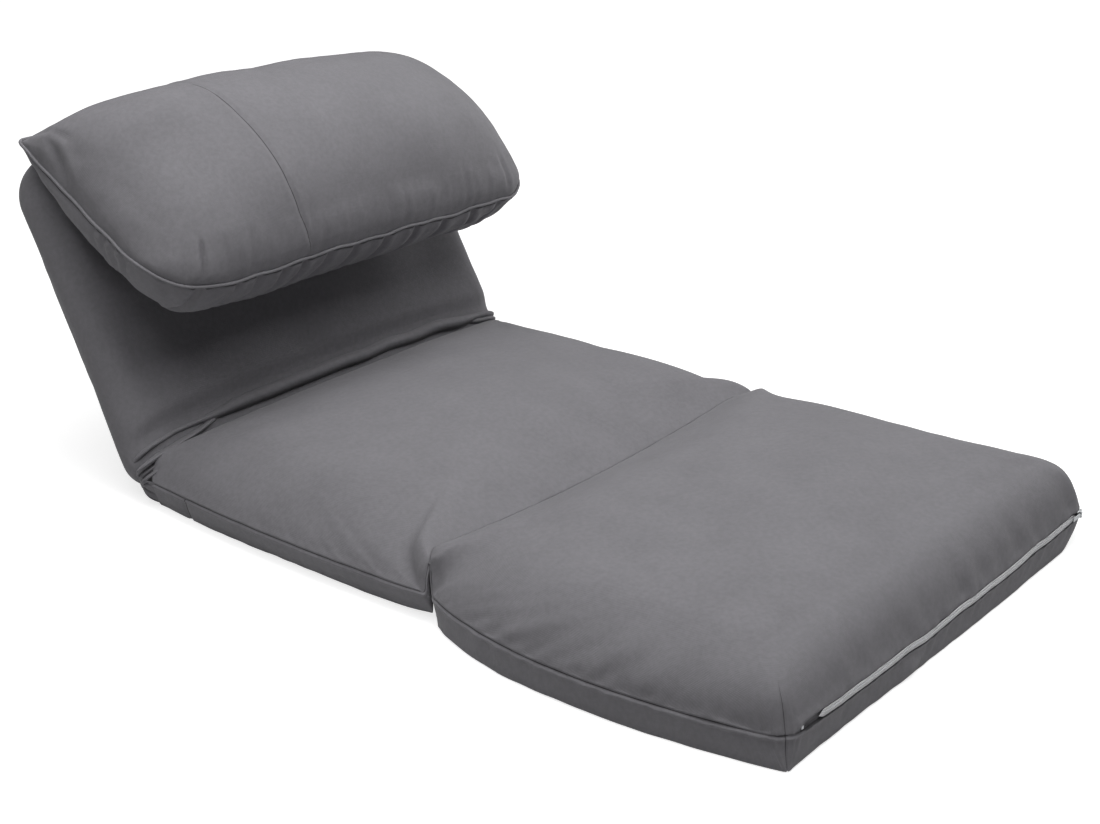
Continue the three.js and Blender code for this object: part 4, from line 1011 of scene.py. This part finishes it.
# A sheet of cloth: its look, and the solids that it stands for, which it hides. Its flat width and length and
# how it is held are not used
def cloth_sheet(obj, flat, held, slot, *nodes, area=None):
    finish_piece(obj, slot)
    if nodes:
        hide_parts(*nodes)


crease_grid, hollows = crease_folds()
crease = grid_mesh("crease_folds", crease_grid, (0, -1, 0.3))
# The line attribute carries painted shade into the hollows between the folds
set_value(crease, "line", np.zeros(hollows.size))
set_value(crease, "line_share", 0.95 * hollows.ravel())
softened(crease, 2)
cloth_sheet(crease, (0.74, 0.16), "folded", "upholstery", "crease_fold_cloth")


# The cloth that closes the gap at each side, between the seat's corner and the side of the backrest
def side_gusset(name, side):
    columns, rows = 30, 44
    across = np.linspace(0, 1, columns)[None, :]
    share = np.linspace(0, 1, rows)
    height = 0.038 - 0.035 * share
    seat_x = 0.3560 - 0.013 * np.clip(1 - height / 0.036, 0, 1) ** 1.5
    seat_edge = np.c_[side * seat_x, np.full(rows, 0.222), height]
    side_x = np.full(rows, side * (BACK.half_width - 0.003) + BACK.shift)
    back_edge = moved(np.c_[side_x, 0.004 - 0.030 * share, np.full(rows, -0.008)], back_frame)
    grid = seat_edge[:, None] * (1 - across[..., None]) + back_edge[:, None] * across[..., None]
    hump = np.sin(math.pi * across)
    folds = abs(np.cos(share[:, None] * math.pi * 2.6 + 0.5 * across)) ** 0.7
    grid[..., 0] += side * (0.003 * hump + 0.004 * folds * hump)
    gusset = grid_mesh(name, grid, (side, 0, 0))
    subdivided(gusset)
    cloth_sheet(gusset, (0.055, 0.034), "folded", "upholstery")
    return gusset


gussets = [side_gusset("left_gusset", -1), side_gusset("right_gusset", 1)]


# Cloths underneath, behind and between

# Dark cloth drawn tight inside a closed outline, its height a function of the place in plan
def tight_cloth(name, ring, counts, height, node, body, stand=Matrix()):
    grid = filled(ring, counts)
    inside = grid.reshape(-1, 2)
    points = moved(np.c_[inside, height(inside)], stand).reshape(*grid.shape[:2], 3)
    cloth = grid_mesh(name, points, stand.to_3x3() @ Vector((0, 0, -1)))
    settle_fold(cloth)
    x, y = ring.T
    area = abs(np.sum(x * np.roll(y, -1) - y * np.roll(x, -1))) / 2
    flat = (ring.max(0) - ring.min(0)).tolist()
    cloth_sheet(cloth, flat, "stretched", "under_cloth", node, area=float(area))
    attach(cloth, body)


# The cloth that a pad lies on, sewn to the lower edge of its band
def base_cloth(name, pad, body, seed):
    ring = outline(pad, [inset + 0.0035 for inset in pad.tuck], 1.0)
    waves = Waves(seed, 0.09, 7, 2)
    tight_cloth(name, ring, pad.counts, lambda inside: 0.0014 + 0.0007 * waves.at(inside),
                name + "_cloth", body)


# The cloth over the back of the backrest, sewn round its edge
def rear_height(inside):
    u = (inside[:, 0] - BACK.shift) / BACK.half_width
    edge = 1 - np.maximum(abs(u), abs(lengthwise(BACK, inside[:, 1])))
    height = BACK.rear + 0.0002 - 0.0012 * ease(0.08, 0.16, edge)
    return height + 0.0006 * Waves(73, 0.10, 7, 2).at(inside) * ease(0.08, 0.2, edge)


base_cloth("seat_base", SEAT, "seat", 71)
base_cloth("leg_base", LEG, "leg_section", 72)
rear_ring = back_outline(0.0305)
tight_cloth("backrest_rear_panel", rear_ring, BACK.counts, rear_height, "back_rear_cover", "backrest",
            back_frame)
rear_line = np.c_[rear_ring, np.full(len(rear_ring), BACK.rear + 0.0002)]
piping("backrest_rear_seam", moved(rear_line, back_frame), 0.0016, "backrest")


# Cloth that spans across the object along a path in Y and Z
def spanning(name, path, half_width, facing, ripple, columns=160):
    line = catmull(np.array(path, float), 8)
    grid = np.zeros((len(line), columns, 3))
    grid[..., 0] = np.linspace(-half_width, half_width, columns)
    grid[..., 1:] = line[:, None]
    grid[..., 2] += ripple * Waves(80, 0.06, 6).at(grid.reshape(-1, 3)).reshape(len(line), columns)
    return grid_mesh(name, grid, facing)


under = spanning("crease_under", [(0.222, 0.0026), (0.240, 0.0022), (0.258, 0.0022), (0.272, 0.0024)], 0.325,
                 (0, 0, -1), 0.0006)
cloth_sheet(under, (0.65, 0.05), "laid", "under_cloth", "crease_under_cloth")

fold_z, fold_bow = SEAT.near_seam
fold_path = [(FOLD_Y + y, fold_z - below) for y, below in (
    (0.006, 0.014), (0.0015, 0.006), (-0.0015, 0.0045), (-0.0045, 0.006), (-0.009, 0.014))]
fold = spanning("fold_strip", fold_path, 0.343, (0, 0, 1), 0.0002)
points = positions(fold)
points[:, 2] += fold_bow * (points[:, 0] / SEAT.half_width) ** 2
place(fold, points)
settle_fold(fold)
cloth_sheet(fold, (0.686, 0.027), "folded", "upholstery", "fold_cloth")

# The flap that holds the pillow: sewn under its upper seam and to the top of the backrest
flap_path = moved([(0, BACK.far - 0.012, BACK.front - 0.004), (0, BACK.far + 0.001, 0.010),
                   (0, BACK.far + 0.004, 0.020), (0, PILLOW_HINGE_UP, PILLOW_HINGE_OUT - 0.002)],
                  back_frame)
pillow_flap = spanning("pillow_flap_cloth", flap_path[:, 1:], 0.325, (0, 0.5, 1), 0.0004)
cloth_sheet(pillow_flap, (0.65, 0.04), "folded", "upholstery", "pillow_flap")


# The zip: two tapes and a chain of interlocked teeth between them

ZIP_LEFT = -0.296
ZIP_RIGHT = 0.309
TOOTH_PITCH = 0.0015


# A strip that follows the zip between two heights beside its line, pointed at both ends
def zip_strip(name, low, high, proud, tooth_height, rows):
    x = np.linspace(ZIP_LEFT, ZIP_RIGHT, 1700)
    open_share = np.sqrt(ease(ZIP_LEFT, ZIP_LEFT + 0.012, x) * ease(ZIP_RIGHT, ZIP_RIGHT - 0.012, x))
    share = np.linspace(0, 1, rows)[:, None]
    bow = np.sin(math.pi * share)
    slant = np.where(share < 0.5, share, 1 - share) * 1.2
    teeth = tooth_height * abs(np.sin(math.pi * (x / TOOTH_PITCH + slant))) * (bow > 0.3)
    grid = np.zeros((rows, len(x), 3))
    grid[..., 0] = x
    grid[..., 1] = LEG.near - 0.0001 - proud * bow - teeth
    grid[..., 2] = zip_line(x) + (low + (high - low) * share) * open_share
    obj = grid_mesh(name, grid, (0, -1, 0))
    thick = obj.modifiers.new("Thickness", "SOLIDIFY")
    thick.thickness = 0.0006
    thick.offset = -1
    applied(obj)
    return obj


for name, low, high, proud, teeth, rows, slot, node in (
        ("zip_tape_low", -0.0046, -0.0012, 0.0004, 0.0, 5, "zip_tape", "zip_lower_tape"),
        ("zip_tape_high", 0.0012, 0.0046, 0.0004, 0.0, 5, "zip_tape", "zip_upper_tape"),
        ("zip_teeth", -0.0016, 0.0016, 0.0007, 0.0005, 9, "zip_teeth", "zip_chain")):
    strip = zip_strip(name, low, high, proud, teeth, rows)
    finish_piece(strip, slot)
    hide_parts(node)
    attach(strip, "leg_section")


# Floor, light and camera

# The floor takes the light and the shadow, and glows white to the camera, a little less near the object
floor_material, tree, shader = new_material("floor", {"Roughness": 0.9, "Base Color": (0.6, 0.6, 0.6, 1),
                                                      "Specular IOR Level": 0.0})
path = add_node(tree, "LightPath")
glossy = add_node(tree, "Math", operation="MAXIMUM")
seen = add_node(tree, "Math", operation="MAXIMUM")
glow = add_node(tree, "Emission")
both = add_node(tree, "AddShader")
mix = add_node(tree, "MixShader")
place_node = add_node(tree, "TexCoord")
distance = add_node(tree, "VectorMath", operation="LENGTH")
strength = add_node(tree, "MapRange", {"From Min": 0.9, "From Max": 2.4, "To Min": 0.76, "To Max": 1.0})
link(tree, (place_node, "Object", distance, 0), (distance, "Value", strength, "Value"),
     (strength, "Result", glow, "Strength"), (path, "Is Camera Ray", glossy, 0),
     (path, "Is Glossy Ray", glossy, 1), (glossy, 0, seen, 0), (path, "Is Transmission Ray", seen, 1),
     (seen, 0, mix, "Fac"), (shader, "BSDF", both, 0), (glow, "Emission", both, 1), (shader, "BSDF", mix, 1),
     (both, "Shader", mix, 2), (mix, "Shader", tree.nodes["Material Output"], "Surface"))
FLOOR_HALF = 30.0
FLOOR_Z = -0.0006
corners = ((-1, -1), (1, -1), (1, 1), (-1, 1))
floor = make_mesh("floor", [(x * FLOOR_HALF, y * FLOOR_HALF, FLOOR_Z) for x, y in corners], [(0, 1, 2, 3)])
floor.data.materials.append(floor_material)

# A white background for the camera, and a dim one for the light
world = bpy.data.worlds.new("studio")
scene.world = world
world.use_nodes = True
tree = world.node_tree
white = (1, 1, 1, 1)
background = tree.nodes["Background"]
fill(background, {"Color": white, "Strength": 0.04})
seen_background = add_node(tree, "Background", {"Color": white, "Strength": 1.0})
mix = add_node(tree, "MixShader")
link(tree, (add_node(tree, "LightPath"), "Is Camera Ray", mix, "Fac"), (background, "Background", mix, 1),
     (seen_background, "Background", mix, 2), (mix, "Shader", tree.nodes["World Output"], "Surface"))

# Softboxes: where each stands, the height that it aims at and its power
SOFTBOX_SIZE = 1.6
for name, stand, aim_height, power in (
        ("over_back", (0.1, 0.5, 2.35), 0, 13), ("over_left", (-0.8, -0.1, 2.2), 0, 20),
        ("over_foot", (0.1, -1.0, 2.3), 0, 25), ("right", (2.8, -0.1, 1.4), 0.1, 22),
        ("left_back", (-2.2, 1.6, 1.9), 0.1, 3)):
    light = bpy.data.lights.new(name, "AREA")
    light.shape = "RECTANGLE"
    light.size = light.size_y = SOFTBOX_SIZE
    light.energy = power
    lamp = add_object(name, light)
    lamp.location = stand
    lamp.rotation_euler = (Vector((0, -0.1, aim_height)) - Vector(stand)).to_track_quat("-Z", "Y").to_euler()

CAMERA_PLACE = (-1.7371, -1.5510, 1.0473)
CAMERA_YAW = math.radians(50.97)
CAMERA_PITCH = math.radians(22.52)
CAMERA_ROLL = math.radians(0.3)

camera_data = bpy.data.cameras.new("camera")
camera_data.lens = 61.14
camera_data.sensor_width = 36
camera = add_object("camera", camera_data)
camera.matrix_world = (Matrix.Translation(CAMERA_PLACE) @ Matrix.Rotation(-CAMERA_YAW, 4, "Z")
                       @ Matrix.Rotation(math.pi / 2 - CAMERA_PITCH, 4, "X")
                       @ Matrix.Rotation(CAMERA_ROLL, 4, "Z"))
scene.camera = camera
scene.view_settings.view_transform = "Standard"

slots = {row["node"]: row["material_slot"] for row in frame["record"]["subparts"]}
for name, obj in frame["nodes"].items():
    coat(obj, slots[name])

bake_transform(crease)
# The pillow and its piping get meshes of their own
for piece in (pillow, pillow_piping):
    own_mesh(piece)
for gusset in gussets:
    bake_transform(gusset)
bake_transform(under)
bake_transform(fold)
flap_points = positions(pillow_flap)
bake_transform(pillow_flap)
